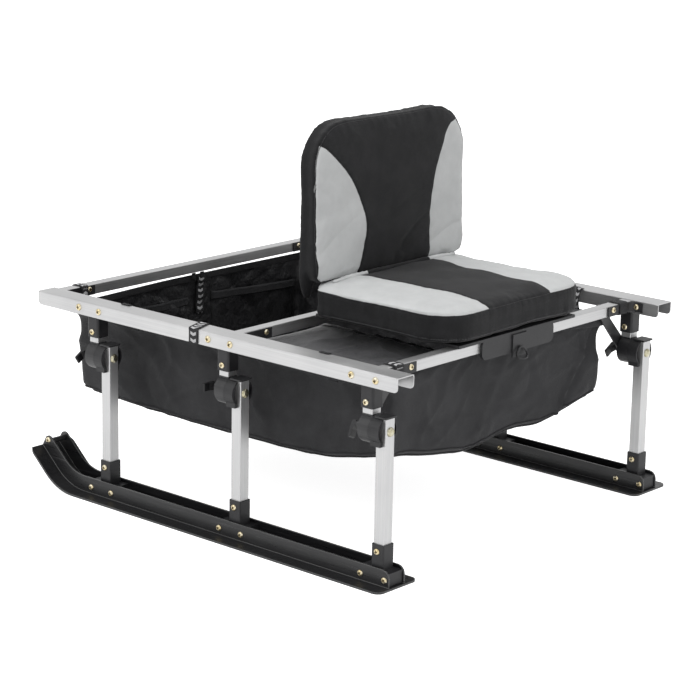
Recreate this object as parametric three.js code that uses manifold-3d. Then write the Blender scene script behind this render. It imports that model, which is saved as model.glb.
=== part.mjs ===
// Ice fishing sled: two runners on folding legs, an aluminium deck frame, a cloth basket and a folding seat.
// Millimetres. +X runs from the ski tips to the rear, +Y to the far side, +Z up from the ground.
import * as THREE from 'three';
import { mergeVertices } from 'three/addons/utils/BufferGeometryUtils.js';
import Module from 'manifold-3d';

const wasm = await Module();
wasm.setup();

// Clearances shared by every fit
const gap = 0.3;
const pinGap = 0.6;
const cutOver = 2;

// Deck rails: channels that open downward
const railLength = 1004;
const railSpread = 898.8;
const deckHeight = 421;
const railWidth = 48;
const railHeight = 29;
const railWall = 2;
const railEdgeRadius = 3;
const railEndRadius = 9;

// Leg stations, measured from the rail ends and the rail's centre line
const frontOverhang = 157;
const rearOverhang = 85;
const legInset = 3;

// Cross tubes between the rails
const tubeWidth = 25.4;
const tubeHeight = 22.7;
const tubeWall = 1.5;
const tubeEdgeRadius = 2;
const tubeDrop = 2.6;
const tubeBehindLeg = 3;
const frontTubeInset = 15;

// Angle brackets that hold the tubes to the rails
const bracketThickness = 3;
const bracketEdge = 0.85;
const bracketReach = 86;
const bracketFlange = 43;
const bracketBend = 14;

// Leg sockets under the rails
const socketBlockLength = 77;
const socketBlockHeight = 24;
const sleeveWall = 3;
const sleeveAboveDrum = 11.2;
const sleeveRadius = 5;
const stubDepth = 40;

// Leg hinges, whose pins run along X
const hingeDrop = 116.2;
const drumRadius = 29;
const hingeFront = 11;
const hingeSplit = 15;
const hingeWeb = 7.3;
const hingeRear = 40;
const pinRadius = 4;
const bushRadius = 9;
const bushFront = 31.7;
const skirtDepth = 29;
const skirtWidth = 42;
const cupDepth = 7;
const cupRim = 3;
const lipThickness = 3.5;
const lipOverhang = 2.3;

// Square leg tubes
const legSide = 25.4;
const legWall = 1.6;
const legRadius = 2;
const lowerLegAbovePin = 26;

// Cam levers on the front end of each hinge pin
const camRadius = 6;
const leverWidth = 16;
const leverLength = 27;
const leverThickness = 5.5;
const camWrap = 30;
const leverAngles = {
  near_front: 34,
  near_middle: 0,
  near_rear: 67,
  far_front: 30,
  far_middle: 30,
  far_rear: 30,
};

// Flat braces from the hinge pins to the tubes
const braceThickness = 4;
const braceEyeRadius = 13;
const braceEndRadius = 10.5;
const braceReach = 96.4;
const braceSpacerRadius = 8;

// Feet that join the legs to the skis
const footWall = 2.5;
const footTop = 81;
const footRadius = 3;
const footSeat = 20;
const footBaseLength = 78;
const footBaseShift = 5;
const footBaseLift = 1.2;
const footBaseTop = 31;

// Skis: a flat sole with two upright walls
const skiWidth = 118;
const skiBehindFoot = 8;
const skiAheadOfFoot = 13.3;
const soleThickness = 4;
const skiWall = 3;
const skiWallGap = 42;
const skiWallTop = 38;
const tipRadius = 126;
const tipAngle = 42;
const tipRamp = 67;
const earRadius = 13;
const earReach = 5;
const wallRearInset = 5;
const wallRearRadius = 16;
const soleTipRadius = 12;
const soleRearRadius = 16;
const spacerRadius = 6;

// Cloth basket that hangs inside the frame
const basketRearInset = 23;
const basketTopInset = 16.4;
const basketInset = 56.4;
const basketDepth = 249;
const basketFrontLift = 9;
const basketRearLift = 26;
const basketCloth = 4;
const basketCornerRadius = 22;

// Seat base that clips over the middle and rear tubes
const baseThickness = 6;
const baseWidth = 380;
const plateWidth = 234;
const plateThickness = 6;
const plateDrop = 40;
const plateRadius = 14;
const hookLipDrop = 16;
const hookLipThickness = 4;
const hookArmWidth = 40;
const hookArmSpacing = 150;
const strapWidth = 44;
const strapThickness = 3;
const strapDrop = 49;

// Seat cushion, from behind the middle tube to past the rear tube
const cushionBehindTube = 21;
const cushionPastTube = 28;
const cushionWidth = 470;
const cushionThickness = 64;
const cushionCrown = 19;
const cushionFrontRadius = 40;
const cushionRearRadius = 80;

// Seat back
const backAhead = 18;
const backThickness = 58;
const backHeight = 327;
const backWidth = 480;
const backCrown = 8;
const backTopRadius = 95;
const backBottomRadius = 30;

// Rolled hem in the crease between the pads
const rollRadius = 4.5;
const rollLength = 330;
const rollStandoff = 1.2;

// Both pads
const padSidePull = 3;
const padBandPull = 4;
const padSeamInset = 5;

// Steps on round stretches
const drumSteps = 16;
const pinSteps = 12;
const cornerSteps = 3;
const tipSteps = 9;
const padSteps = 56;

// Places worked out from the sizes above
const railCentre = railSpread / 2 - railWidth / 2;
const railInner = railCentre - railWidth / 2;
const legCentre = railCentre - legInset;
const legFrontX = frontOverhang - railLength / 2;
const legRearX = railLength / 2 - rearOverhang;
const legX = { front: legFrontX, middle: (legFrontX + legRearX) / 2, rear: legRearX };
const tubeX = {
  front: frontTubeInset - railLength / 2,
  middle: legX.middle + tubeBehindLeg,
  rear: legX.rear + tubeBehindLeg,
};
const tubeTop = deckHeight - tubeDrop;
const tubeMiddle = tubeTop - tubeHeight / 2;
const tubeBottom = tubeTop - tubeHeight;
const hingeHeight = deckHeight - hingeDrop;
const sleeveBottom = hingeHeight + drumRadius + sleeveAboveDrum;
const lowerLegOffset = hingeSplit + hingeWeb + legSide / 2;
const footMiddle = lowerLegOffset - footBaseShift;
const skiRear = legX.rear + footMiddle + footBaseLength / 2 + skiBehindFoot;
const skiFlatFront = legX.front + footMiddle - footBaseLength / 2 - skiAheadOfFoot;
const basketFront = tubeX.front;
const basketRear = tubeX.rear - basketRearInset;
const basketFloor = deckHeight - basketDepth;
const baseBottom = tubeTop + gap;
const baseTop = baseBottom + baseThickness;
const cushionFront = tubeX.middle + cushionBehindTube;
const cushionLength = tubeX.rear + cushionPastTube - cushionFront;
const cushionMiddle = cushionFront + cushionLength / 2;
const backFront = cushionFront - backAhead;
const backRear = backFront + backThickness;
const backBottom = cushionHeight(backRear) + gap - padSidePull / 2;
const braceRear = -legSide / 2 - gap;
const braceFront = braceRear - braceThickness;
const sides = { near: -1, far: 1 };
const stations = ['front', 'middle', 'rear'];

// Height of the crowned cushion on the centre line
function cushionHeight(x) {
  const share = Math.abs(x - cushionMiddle) / (cushionLength / 2);
  return baseTop + gap + cushionThickness + cushionCrown * (1 - share ** 2);
}

function finish(color, roughness, metalness) {
  return new THREE.MeshStandardMaterial({ color, roughness, metalness });
}

const materials = {
  aluminium: finish(0xd8dadc, 0.38, 0.75),
  blackPlastic: finish(0x2b2b2d, 0.55, 0),
  skiPlastic: finish(0x232325, 0.45, 0),
  blackSteel: finish(0x1d1d1f, 0.4, 0.3),
  basketCloth: finish(0x2a2a2c, 0.85, 0),
  seatCloth: finish(0x2e2e31, 0.8, 0),
  webbing: finish(0x202022, 0.8, 0),
};

// A closed solid from a geometry
function solidOf(geometry) {
  const bare = geometry.clone();
  bare.deleteAttribute('normal');
  bare.deleteAttribute('uv');
  const merged = mergeVertices(bare);
  const vertProperties = new Float32Array(merged.attributes.position.array);
  const triVerts = new Uint32Array(merged.index.array);
  return new wasm.Manifold(new wasm.Mesh({ numProp: 3, vertProperties, triVerts }));
}

// A geometry from a closed solid
function geometryOf(solid) {
  const mesh = solid.getMesh();
  const geometry = new THREE.BufferGeometry();
  geometry.setAttribute('position', new THREE.BufferAttribute(new Float32Array(mesh.vertProperties), 3));
  geometry.setIndex(new THREE.BufferAttribute(new Uint32Array(mesh.triVerts), 1));
  return geometry;
}

function joined(...geometries) {
  const solids = geometries.map(solidOf);
  return geometryOf(solids.reduce((whole, next) => whole.add(next)));
}

function cut(geometry, ...tools) {
  return geometryOf(tools.reduce((whole, tool) => whole.subtract(solidOf(tool)), solidOf(geometry)));
}

function common(first, second) {
  return geometryOf(solidOf(first).intersect(solidOf(second)));
}

// The same geometry on the other side of the centre plane
function mirrored(geometry) {
  const bare = geometry.clone();
  bare.deleteAttribute('normal');
  bare.deleteAttribute('uv');
  const copy = mergeVertices(bare).scale(1, -1, 1);
  const index = Array.from(copy.index.array);
  copy.setIndex(index.map((_, place) => index[place - (place % 3) + 2 - (place % 3)]));
  return copy;
}

function sided(geometry, side) {
  return side > 0 ? geometry : mirrored(geometry);
}

// Rectangle with rounded corners about its centre
function roundedRectangle(width, height, radius) {
  const shape = new THREE.Shape();
  const x = width / 2 - radius;
  const y = height / 2 - radius;
  shape.absarc(x, y, radius, 0, Math.PI / 2);
  shape.absarc(-x, y, radius, Math.PI / 2, Math.PI);
  shape.absarc(-x, -y, radius, Math.PI, 1.5 * Math.PI);
  shape.absarc(x, -y, radius, 1.5 * Math.PI, 2 * Math.PI);
  return shape;
}

// Closed outline through points given as pairs
function outline(points) {
  return new THREE.Shape(points.map(([x, y]) => new THREE.Vector2(x, y)));
}

function extruded(shape, from, to, steps = cornerSteps) {
  const geometry = new THREE.ExtrudeGeometry(shape, {
    depth: to - from,
    bevelEnabled: false,
    curveSegments: steps,
  });
  return geometry.translate(0, 0, from);
}

// The outline lies across X: its first axis is Y and its second is Z
function alongX(shape, from, to, steps) {
  const turn = new THREE.Matrix4().makeBasis(
    new THREE.Vector3(0, 1, 0), new THREE.Vector3(0, 0, 1), new THREE.Vector3(1, 0, 0));
  return extruded(shape, from, to, steps).applyMatrix4(turn);
}

// The outline lies across Y: its first axis is X and its second is Z
function alongY(shape, from, to, steps) {
  return extruded(shape, -to, -from, steps).rotateX(Math.PI / 2);
}

function alongZ(shape, from, to, steps) {
  return extruded(shape, from, to, steps);
}

function box(x0, x1, y0, y1, z0, z1) {
  const geometry = new THREE.BoxGeometry(x1 - x0, y1 - y0, z1 - z0);
  return geometry.translate((x0 + x1) / 2, (y0 + y1) / 2, (z0 + z1) / 2);
}

// Round bar along X about the hinge line
function roundX(radius, x0, x1, steps) {
  const geometry = new THREE.CylinderGeometry(radius, radius, x1 - x0, steps);
  return geometry.rotateZ(Math.PI / 2).translate((x0 + x1) / 2, 0, hingeHeight);
}

const group = new THREE.Group();

function add(name, geometry, material, x = 0, y = 0, z = 0) {
  const mesh = new THREE.Mesh(geometry, material);
  mesh.name = name;
  mesh.position.set(x, y, z);
  group.add(mesh);
  return mesh;
}

// Rail channel about its own centre, with its top at zero
function railGeometry() {
  const half = railWidth / 2;
  const inner = half - railWall;
  const edge = half - railEdgeRadius;
  const section = new THREE.Shape();
  section.moveTo(-half, -railHeight);
  section.lineTo(-inner, -railHeight);
  section.lineTo(-inner, -railWall);
  section.lineTo(inner, -railWall);
  section.lineTo(inner, -railHeight);
  section.lineTo(half, -railHeight);
  section.absarc(edge, -railEdgeRadius, railEdgeRadius, 0, Math.PI / 2);
  section.absarc(-edge, -railEdgeRadius, railEdgeRadius, Math.PI / 2, Math.PI);
  const end = railLength / 2;
  const corner = end - railEndRadius;
  const low = railEndRadius - railHeight;
  const profile = new THREE.Shape();
  profile.moveTo(end, 0);
  profile.lineTo(-end, 0);
  profile.absarc(-corner, low, railEndRadius, Math.PI, 1.5 * Math.PI);
  profile.absarc(corner, low, railEndRadius, 1.5 * Math.PI, 2 * Math.PI);
  return common(alongX(section, -end, end), alongY(profile, -half, half));
}

// Hollow cross tube about its own centre
function crossTubeGeometry() {
  const end = railInner - gap;
  const section = roundedRectangle(tubeWidth, tubeHeight, tubeEdgeRadius);
  const inner = [tubeWidth / 2 - tubeWall, tubeHeight / 2 - tubeWall];
  const bore = new THREE.Path();
  bore.moveTo(-inner[0], -inner[1]);
  bore.lineTo(-inner[0], inner[1]);
  bore.lineTo(inner[0], inner[1]);
  bore.lineTo(inner[0], -inner[1]);
  section.holes.push(bore);
  return alongY(section, -end, end);
}

// Angle bracket seen from above: an ear on the tube's rear face and a flange on the rail
function tubeBracketGeometry() {
  const x0 = tubeWidth / 2 + gap;
  const y1 = railInner - gap;
  const y0 = railInner - bracketReach;
  const plan = new THREE.Shape();
  const bendX = x0 + bracketThickness + bracketBend;
  const bendY = y1 - bracketThickness - bracketBend;
  plan.moveTo(x0, y0);
  plan.lineTo(x0 + bracketThickness, y0);
  plan.lineTo(x0 + bracketThickness, bendY);
  plan.absarc(bendX, bendY, bracketBend, Math.PI, Math.PI / 2, true);
  plan.lineTo(x0 + bracketFlange - tubeWidth / 2, y1 - bracketThickness);
  plan.lineTo(x0 + bracketFlange - tubeWidth / 2, y1);
  plan.lineTo(x0, y1);
  const half = tubeHeight / 2 - bracketEdge;
  return alongZ(plan, -half, half);
}

// Leg parts use X from the leg's centre, Y outward from the hinge line and Z from the ground
function squareTube(side, radius, x, z0, z1) {
  return alongZ(roundedRectangle(side, side, radius), z0, z1).translate(x, 0, 0);
}

function legSocketGeometry() {
  const blockTop = deckHeight - railWall - gap;
  const blockBottom = blockTop - socketBlockHeight;
  const blockHalf = railWidth / 2 - railWall - gap;
  const shift = railCentre - legCentre;
  const half = socketBlockLength / 2;
  const block = box(-half, half, shift - blockHalf, shift + blockHalf, blockBottom, blockTop);
  const boreSide = legSide + 2 * gap;
  const sleeveSide = boreSide + 2 * sleeveWall;
  const sleeve = squareTube(sleeveSide, sleeveRadius, 0, sleeveBottom, blockBottom + cutOver);
  const boreTop = sleeveBottom + stubDepth + gap;
  const bore = squareTube(boreSide, legRadius, 0, sleeveBottom - cutOver, boreTop);
  return cut(joined(block, sleeve), bore);
}

// Stub, fixed half of the hinge and its pin
function upperLegGeometry(bushRear) {
  const stub = squareTube(legSide, legRadius, 0, hingeHeight, sleeveBottom + stubDepth);
  const drum = roundX(drumRadius, -hingeFront, hingeSplit, drumSteps * 2);
  const pinRear = lowerLegOffset + legSide / 2 - gap;
  const pin = roundX(pinRadius, -bushFront + cutOver, pinRear, pinSteps);
  const bush = roundX(bushRadius, -bushFront, -bushRear, drumSteps);
  return joined(stub, drum, pin, bush);
}

// Moving half of the hinge: a drum with a skirt, a cup in its rear face and a lip over the lower leg
function lowerHingeGeometry() {
  const front = hingeSplit + gap;
  const legFront = lowerLegOffset - legSide / 2 - gap;
  const legTop = hingeHeight + lowerLegAbovePin;
  const seat = legSide / 2 + gap;
  const skirt = box(front, hingeRear, -skirtWidth / 2, skirtWidth / 2, hingeHeight - skirtDepth, hingeHeight);
  const drum = roundX(drumRadius, front, hingeRear, drumSteps * 2);
  const cup = roundX(drumRadius - cupRim, hingeRear - cupDepth, hingeRear + cutOver, drumSteps * 2);
  const slot = box(
    legFront, hingeRear + cutOver, -seat, seat, hingeHeight - skirtDepth - cutOver, legTop + gap);
  const bore = roundX(pinRadius + pinGap, front - cutOver, legFront + cutOver, pinSteps);
  const lipRear = lowerLegOffset + legSide / 2 + lipOverhang;
  const lipHalf = legSide / 2 + lipThickness;
  const lip = box(legFront, lipRear, -lipHalf, lipHalf, legTop + gap, legTop + gap + lipThickness);
  return joined(cut(joined(drum, skirt), cup, slot, bore), lip);
}

function lowerLegGeometry() {
  const top = hingeHeight + lowerLegAbovePin;
  const tube = squareTube(legSide, legRadius, lowerLegOffset, footSeat, top);
  const innerSide = legSide - 2 * legWall;
  const hollow = squareTube(innerSide, legRadius / 2, lowerLegOffset, footSeat - cutOver, top + cutOver);
  const half = legSide / 2 + cutOver;
  const bore = roundX(pinRadius + pinGap, lowerLegOffset - half, lowerLegOffset + half, pinSteps);
  return cut(tube, hollow, bore);
}

function footGeometry() {
  const half = footBaseLength / 2;
  const baseHalf = skiWallGap / 2 - gap;
  const bottom = soleThickness + footBaseLift;
  const base = box(footMiddle - half, footMiddle + half, -baseHalf, baseHalf, bottom, footBaseTop);
  const boreSide = legSide + 2 * gap;
  const sleeveSide = boreSide + 2 * footWall;
  const sleeve = squareTube(sleeveSide, footRadius, lowerLegOffset, footBaseTop - cutOver, footTop);
  const bore = squareTube(boreSide, legRadius, lowerLegOffset, footSeat - gap, footTop + cutOver);
  return cut(joined(base, sleeve), bore);
}

// Eye on the pin and a straight bar up to the side of the tube
function braceOutline() {
  const eye = new THREE.Vector2(0, hingeHeight);
  const end = new THREE.Vector2(-braceReach, tubeMiddle);
  const run = end.clone().sub(eye);
  const lean = Math.asin((braceEyeRadius - braceEndRadius) / run.length());
  const heading = Math.atan2(run.y, run.x);
  const turn = Math.PI / 2 - lean;
  const shape = new THREE.Shape();
  shape.absarc(eye.x, eye.y, braceEyeRadius, heading + turn, heading - turn + 2 * Math.PI);
  shape.absarc(end.x, end.y, braceEndRadius, heading - turn, heading + turn);
  return shape;
}

function braceGeometry() {
  const bar = braceOutline();
  const hole = new THREE.Path();
  hole.absarc(0, hingeHeight, pinRadius + pinGap, 0, 2 * Math.PI, true);
  bar.holes.push(hole);
  const plate = alongX(bar, braceFront, braceRear, drumSteps / 2);
  const tubeFace = tubeBehindLeg - tubeWidth / 2 - gap;
  const spacer = roundX(braceSpacerRadius, braceRear - cutOver / 2, tubeFace, drumSteps);
  return joined(plate, spacer.translate(0, -braceReach, tubeMiddle - hingeHeight));
}

// Lever about its cross pin, hanging down: a round head with a flat paddle
function leverGeometry() {
  const profile = new THREE.Shape();
  const bend = leverLength / 2;
  profile.absarc(0, 0, camRadius, -THREE.MathUtils.degToRad(camWrap), Math.PI);
  profile.lineTo(-camRadius, -leverLength);
  profile.lineTo(-camRadius + leverThickness / 2, -leverLength - leverThickness / 2);
  profile.lineTo(-camRadius + leverThickness, -leverLength);
  profile.lineTo(-camRadius + leverThickness, -bend);
  return alongY(profile, -leverWidth / 2, leverWidth / 2, drumSteps / 2);
}

const tipTurn = THREE.MathUtils.degToRad(tipAngle);

// Point a height above the sole on the bend from the flat to the upturned front
function bendPoint(height, turn) {
  const radius = tipRadius - height;
  return [skiFlatFront - radius * Math.sin(turn), tipRadius - radius * Math.cos(turn)];
}

// Point a height above the sole on the straight ramp, past the end of the bend
function rampPoint(height, along) {
  const [x, z] = bendPoint(height, tipTurn);
  return [x - along * Math.cos(tipTurn), z + along * Math.sin(tipTurn)];
}

function bendArc(height, from, to) {
  const steps = Array.from({ length: tipSteps + 1 }, (_, step) => step / tipSteps);
  return steps.map((share) => bendPoint(height, from + (to - from) * share));
}

// Rounded end of a ski wall, from the sole up to the wall's top
function wallEar(lowest) {
  const points = [rampPoint(lowest, tipRamp)];
  for (let step = 0; step <= tipSteps; step += 1) {
    const turn = (step / tipSteps) * (Math.PI / 2);
    const along = tipRamp + earReach - earRadius + earRadius * Math.cos(turn);
    points.push(rampPoint(skiWallTop - earRadius + earRadius * Math.sin(turn), along));
  }
  return points;
}

function skiWallOutline() {
  const lowest = soleThickness - skiWall / 2;
  const points = [[skiRear - wallRearInset, lowest], ...bendArc(lowest, 0, tipTurn)];
  points.push(...wallEar(lowest), ...bendArc(skiWallTop, tipTurn, 0));
  const corner = skiRear - wallRearInset - wallRearRadius;
  for (let step = 0; step <= cornerSteps; step += 1) {
    const turn = (step / cornerSteps) * (Math.PI / 2);
    const z = skiWallTop - wallRearRadius + wallRearRadius * Math.cos(turn);
    points.push([corner + wallRearRadius * Math.sin(turn), z]);
  }
  return outline(points);
}

function skiGeometry() {
  const half = skiWidth / 2;
  const soleProfile = outline([
    [skiRear, 0],
    [skiRear, soleThickness],
    ...bendArc(soleThickness, 0, tipTurn),
    rampPoint(soleThickness, tipRamp),
    rampPoint(0, tipRamp),
    ...bendArc(0, tipTurn, 0),
  ]);
  const front = rampPoint(0, tipRamp)[0];
  const plan = new THREE.Shape();
  plan.absarc(skiRear - soleRearRadius, half - soleRearRadius, soleRearRadius, 0, Math.PI / 2);
  plan.absarc(front + soleTipRadius, half - soleTipRadius, soleTipRadius, Math.PI / 2, Math.PI);
  plan.absarc(front + soleTipRadius, soleTipRadius - half, soleTipRadius, Math.PI, 1.5 * Math.PI);
  plan.absarc(skiRear - soleRearRadius, soleRearRadius - half, soleRearRadius, 1.5 * Math.PI, 2 * Math.PI);
  const planHeight = tipRadius;
  const sole = common(
    alongY(soleProfile, -half, half), alongZ(plan, -cutOver, planHeight, cornerSteps * 2));
  const inner = skiWallGap / 2;
  const wall = skiWallOutline();
  return joined(sole, alongY(wall, inner, inner + skiWall), alongY(wall, -inner - skiWall, -inner));
}

function tipSpacer() {
  const [x, z] = rampPoint(skiWallTop - earRadius, tipRamp + earReach - earRadius);
  const length = skiWallGap - 2 * gap;
  return { x, z, geometry: new THREE.CylinderGeometry(spacerRadius, spacerRadius, length, pinSteps) };
}

const basketMiddle = (basketFront + basketRear) / 2;

// One ring of the basket: a rounded rectangle whose height follows the sagging floor
function basketRing(length, halfWidth, riseShare) {
  const shape = roundedRectangle(length, 2 * halfWidth, basketCornerRadius);
  return shape.extractPoints(cornerSteps).shape.map((point) => {
    const x = point.x + basketMiddle;
    const lift = x < 0 ? basketFrontLift * (x / basketFront) ** 2 : basketRearLift * (x / basketRear) ** 2;
    const floor = basketFloor + lift;
    return [x, point.y, floor + (tubeBottom - gap - floor) * riseShare];
  });
}

// Levels from the floor up: length and width as shares, height as a share of the wall
const basketLevelShares = [
  [0.93, 0.88, 0],
  [0.985, 0.955, 0.045],
  [1, 0.99, 0.14],
  [1, 1, 0.45],
  [1, 1, 0.8],
  [0.995, null, 1],
];

function basketRings(inset) {
  return basketLevelShares.map(([lengthShare, widthShare, riseShare]) => {
    const half = widthShare === null ? railInner - basketTopInset : (railInner - basketInset) * widthShare;
    return basketRing((basketRear - basketFront) * lengthShare - 2 * inset, half - inset, riseShare);
  });
}

// Skin over a stack of rings with as many points each, closed by the first and last points
function ringSkin(rings, first, last) {
  const count = rings[0].length;
  const positions = [first, ...rings.flat(), last].flat();
  const index = [];
  const at = (ring, place) => 1 + ring * count + (place % count);
  const end = 1 + rings.length * count;
  for (let place = 0; place < count; place += 1) {
    index.push(0, at(0, place + 1), at(0, place));
    index.push(end, at(rings.length - 1, place), at(rings.length - 1, place + 1));
    for (let ring = 0; ring + 1 < rings.length; ring += 1) {
      const corners = [at(ring, place), at(ring, place + 1), at(ring + 1, place), at(ring + 1, place + 1)];
      index.push(corners[0], corners[1], corners[3], corners[0], corners[3], corners[2]);
    }
  }
  const geometry = new THREE.BufferGeometry();
  geometry.setAttribute('position', new THREE.Float32BufferAttribute(positions, 3));
  geometry.setIndex(index);
  return geometry;
}

function basketGeometry() {
  const outer = basketRings(0);
  const inner = basketRings(basketCloth).map((ring, level) => {
    const lift = level === basketLevelShares.length - 1 ? 0 : basketCloth;
    return ring.map(([x, y, z]) => [x, y, z + lift]);
  });
  const rings = [...outer, ...inner.reverse()];
  return ringSkin(rings, [0, 0, basketFloor], [0, 0, basketFloor + basketCloth]);
}

// Board on the tubes with two hooks over the middle tube and a plate behind the rear tube
function seatBaseGeometry() {
  const front = tubeX.middle - tubeWidth / 2 - gap;
  const rear = tubeX.rear + tubeWidth / 2 + gap;
  const half = baseWidth / 2;
  const board = box(cushionFront, rear + plateThickness, -half, half, baseBottom, baseTop);
  const arms = [1, -1].flatMap((side) => {
    const y0 = (side * hookArmSpacing - hookArmWidth) / 2;
    const y1 = y0 + hookArmWidth;
    return [
      box(front - hookLipThickness, cushionFront + cutOver, y0, y1, baseBottom, baseTop),
      box(front - hookLipThickness, front, y0, y1, baseBottom - hookLipDrop, baseTop),
    ];
  });
  const plateBottom = deckHeight - plateDrop;
  const face = roundedRectangle(plateWidth, baseTop - plateBottom, plateRadius);
  const plate = alongX(face, rear, rear + plateThickness).translate(0, 0, (plateBottom + baseTop) / 2);
  return joined(board, ...arms, plate);
}

// Outline of a pad whose sides pull in between its corners; the first pair of radii is at the low end
function padOutline(length, width, lowRadius, highRadius) {
  const x = length / 2;
  const y = width / 2;
  const shape = new THREE.Shape();
  shape.absarc(x - highRadius, y - highRadius, highRadius, 0, Math.PI / 2);
  shape.quadraticCurveTo(0, y - 2 * padSidePull, lowRadius - x, y);
  shape.absarc(lowRadius - x, y - lowRadius, lowRadius, Math.PI / 2, Math.PI);
  shape.quadraticCurveTo(padSidePull - x, 0, -x, lowRadius - y);
  shape.absarc(lowRadius - x, lowRadius - y, lowRadius, Math.PI, 1.5 * Math.PI);
  shape.quadraticCurveTo(0, 2 * padSidePull - y, x - highRadius, -y);
  shape.absarc(x - highRadius, highRadius - y, highRadius, 1.5 * Math.PI, 2 * Math.PI);
  shape.quadraticCurveTo(x - padSidePull, 0, x, y - highRadius);
  return shape;
}

// Shares of the outline's reach from the edge to the middle, for the crowned face
const crownShares = [0.93, 0.8, 0.6, 0.35];

// Pad with its plan across Z: flat or crowned below, boxed sides drawn in between two seams, crown above
function padGeometry(shape, thickness, topCrown, lowCrown) {
  const points = shape.getSpacedPoints(padSteps).slice(0, padSteps);
  const reach = Math.max(...points.map((point) => Math.abs(point.y)));
  const ring = (share, height) => points.map((point) => [point.x * share, point.y * share, height]);
  const inner = 1 - padSeamInset / reach;
  const drawn = 1 - padBandPull / reach;
  const crown = (share) => 1 - share ** 2;
  const rings = [
    ...[...crownShares].reverse().map((share) => ring(share, -lowCrown * crown(share))),
    ring(inner, 0),
    ring(1, padSeamInset),
    ring(drawn, thickness / 2),
    ring(1, thickness - padSeamInset),
    ring(inner, thickness),
    ...crownShares.map((share) => ring(share, thickness + topCrown * crown(share))),
  ];
  return ringSkin(rings, [0, 0, -lowCrown], [0, 0, thickness + topCrown]);
}

function cushionGeometry() {
  const shape = padOutline(cushionLength, cushionWidth, cushionFrontRadius, cushionRearRadius);
  return padGeometry(shape, cushionThickness, cushionCrown, 0);
}

// The back stands up: its plan's length runs up and its crowned face looks to the rear
function backGeometry() {
  const shape = padOutline(backHeight, backWidth, backBottomRadius, backTopRadius);
  const turn = new THREE.Matrix4().makeBasis(
    new THREE.Vector3(0, 0, 1), new THREE.Vector3(0, 1, 0), new THREE.Vector3(-1, 0, 0));
  const pad = padGeometry(shape, backThickness, backCrown, backCrown);
  return pad.translate(0, 0, -backThickness).applyMatrix4(turn);
}

// Rolled hem that lies on the cushion's crown against the foot of the back
function creaseRoll() {
  const x = backRear + rollStandoff + rollRadius;
  const z = cushionHeight(x) + gap + rollRadius;
  return { x, z, geometry: new THREE.CylinderGeometry(rollRadius, rollRadius, rollLength, pinSteps) };
}

function addDeck() {
  for (const [sideName, side] of Object.entries(sides)) {
    add(`${sideName}_rail`, railGeometry(), materials.aluminium, 0, side * railCentre, deckHeight);
  }
  for (const station of stations) {
    add(`${station}_cross_tube`, crossTubeGeometry(), materials.aluminium, tubeX[station], 0, tubeMiddle);
  }
}

function addLeg(sideName, side, station) {
  const name = `${sideName}_${station}`;
  const place = [legX[station], side * legCentre, 0];
  const braced = station === 'rear';
  const bushRear = braced ? -braceFront + gap : hingeFront - cutOver;
  const bracket = sided(tubeBracketGeometry(), side);
  add(`${name}_tube_bracket`, bracket, materials.blackPlastic, tubeX[station], 0, tubeMiddle);
  add(`${name}_leg_socket`, sided(legSocketGeometry(), side), materials.blackPlastic, ...place);
  add(`${name}_upper_leg`, sided(upperLegGeometry(bushRear), side), materials.blackPlastic, ...place);
  add(`${name}_lower_hinge`, sided(lowerHingeGeometry(), side), materials.blackPlastic, ...place);
  add(`${name}_lower_leg`, sided(lowerLegGeometry(), side), materials.aluminium, ...place);
  add(`${name}_foot`, sided(footGeometry(), side), materials.blackPlastic, ...place);
  if (braced) {
    add(`${name}_brace`, sided(braceGeometry(), side), materials.blackSteel, ...place);
  }
  const leverX = place[0] - bushFront - gap - camRadius;
  const lever = add(`${name}_lever`, leverGeometry(), materials.blackPlastic, leverX, place[1], hingeHeight);
  lever.rotation.x = THREE.MathUtils.degToRad(leverAngles[name] - 90);
}

function addLegs() {
  for (const [sideName, side] of Object.entries(sides)) {
    for (const station of stations) {
      addLeg(sideName, side, station);
    }
  }
}

function addSkis() {
  for (const [sideName, side] of Object.entries(sides)) {
    add(`${sideName}_ski`, skiGeometry(), materials.skiPlastic, 0, side * legCentre, 0);
    const spacer = tipSpacer();
    add(`${sideName}_tip_spacer`, spacer.geometry, materials.blackPlastic, spacer.x, side * legCentre, spacer.z);
  }
}

function addSeat() {
  const front = tubeX.rear + tubeWidth / 2 + plateThickness + 2 * gap;
  const half = strapWidth / 2;
  const strap = box(front, front + strapThickness, -half, half, deckHeight - strapDrop, tubeTop);
  add('seat_base', seatBaseGeometry(), materials.blackPlastic);
  add('seat_strap_hook', strap, materials.webbing);
  add('seat_cushion', cushionGeometry(), materials.seatCloth, cushionMiddle, 0, baseTop + gap);
  add('seat_back', backGeometry(), materials.seatCloth, backFront, 0, backBottom + backHeight / 2);
  const roll = creaseRoll();
  add('seat_crease_roll', roll.geometry, materials.seatCloth, roll.x, 0, roll.z);
}

addDeck();
addLegs();
addSkis();
add('basket', basketGeometry(), materials.basketCloth);
addSeat();

export default group;
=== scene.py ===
import math

import bpy
from mathutils import Matrix, Vector, noise
from mathutils.bvhtree import BVHTree
from mathutils.kdtree import KDTree


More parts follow.
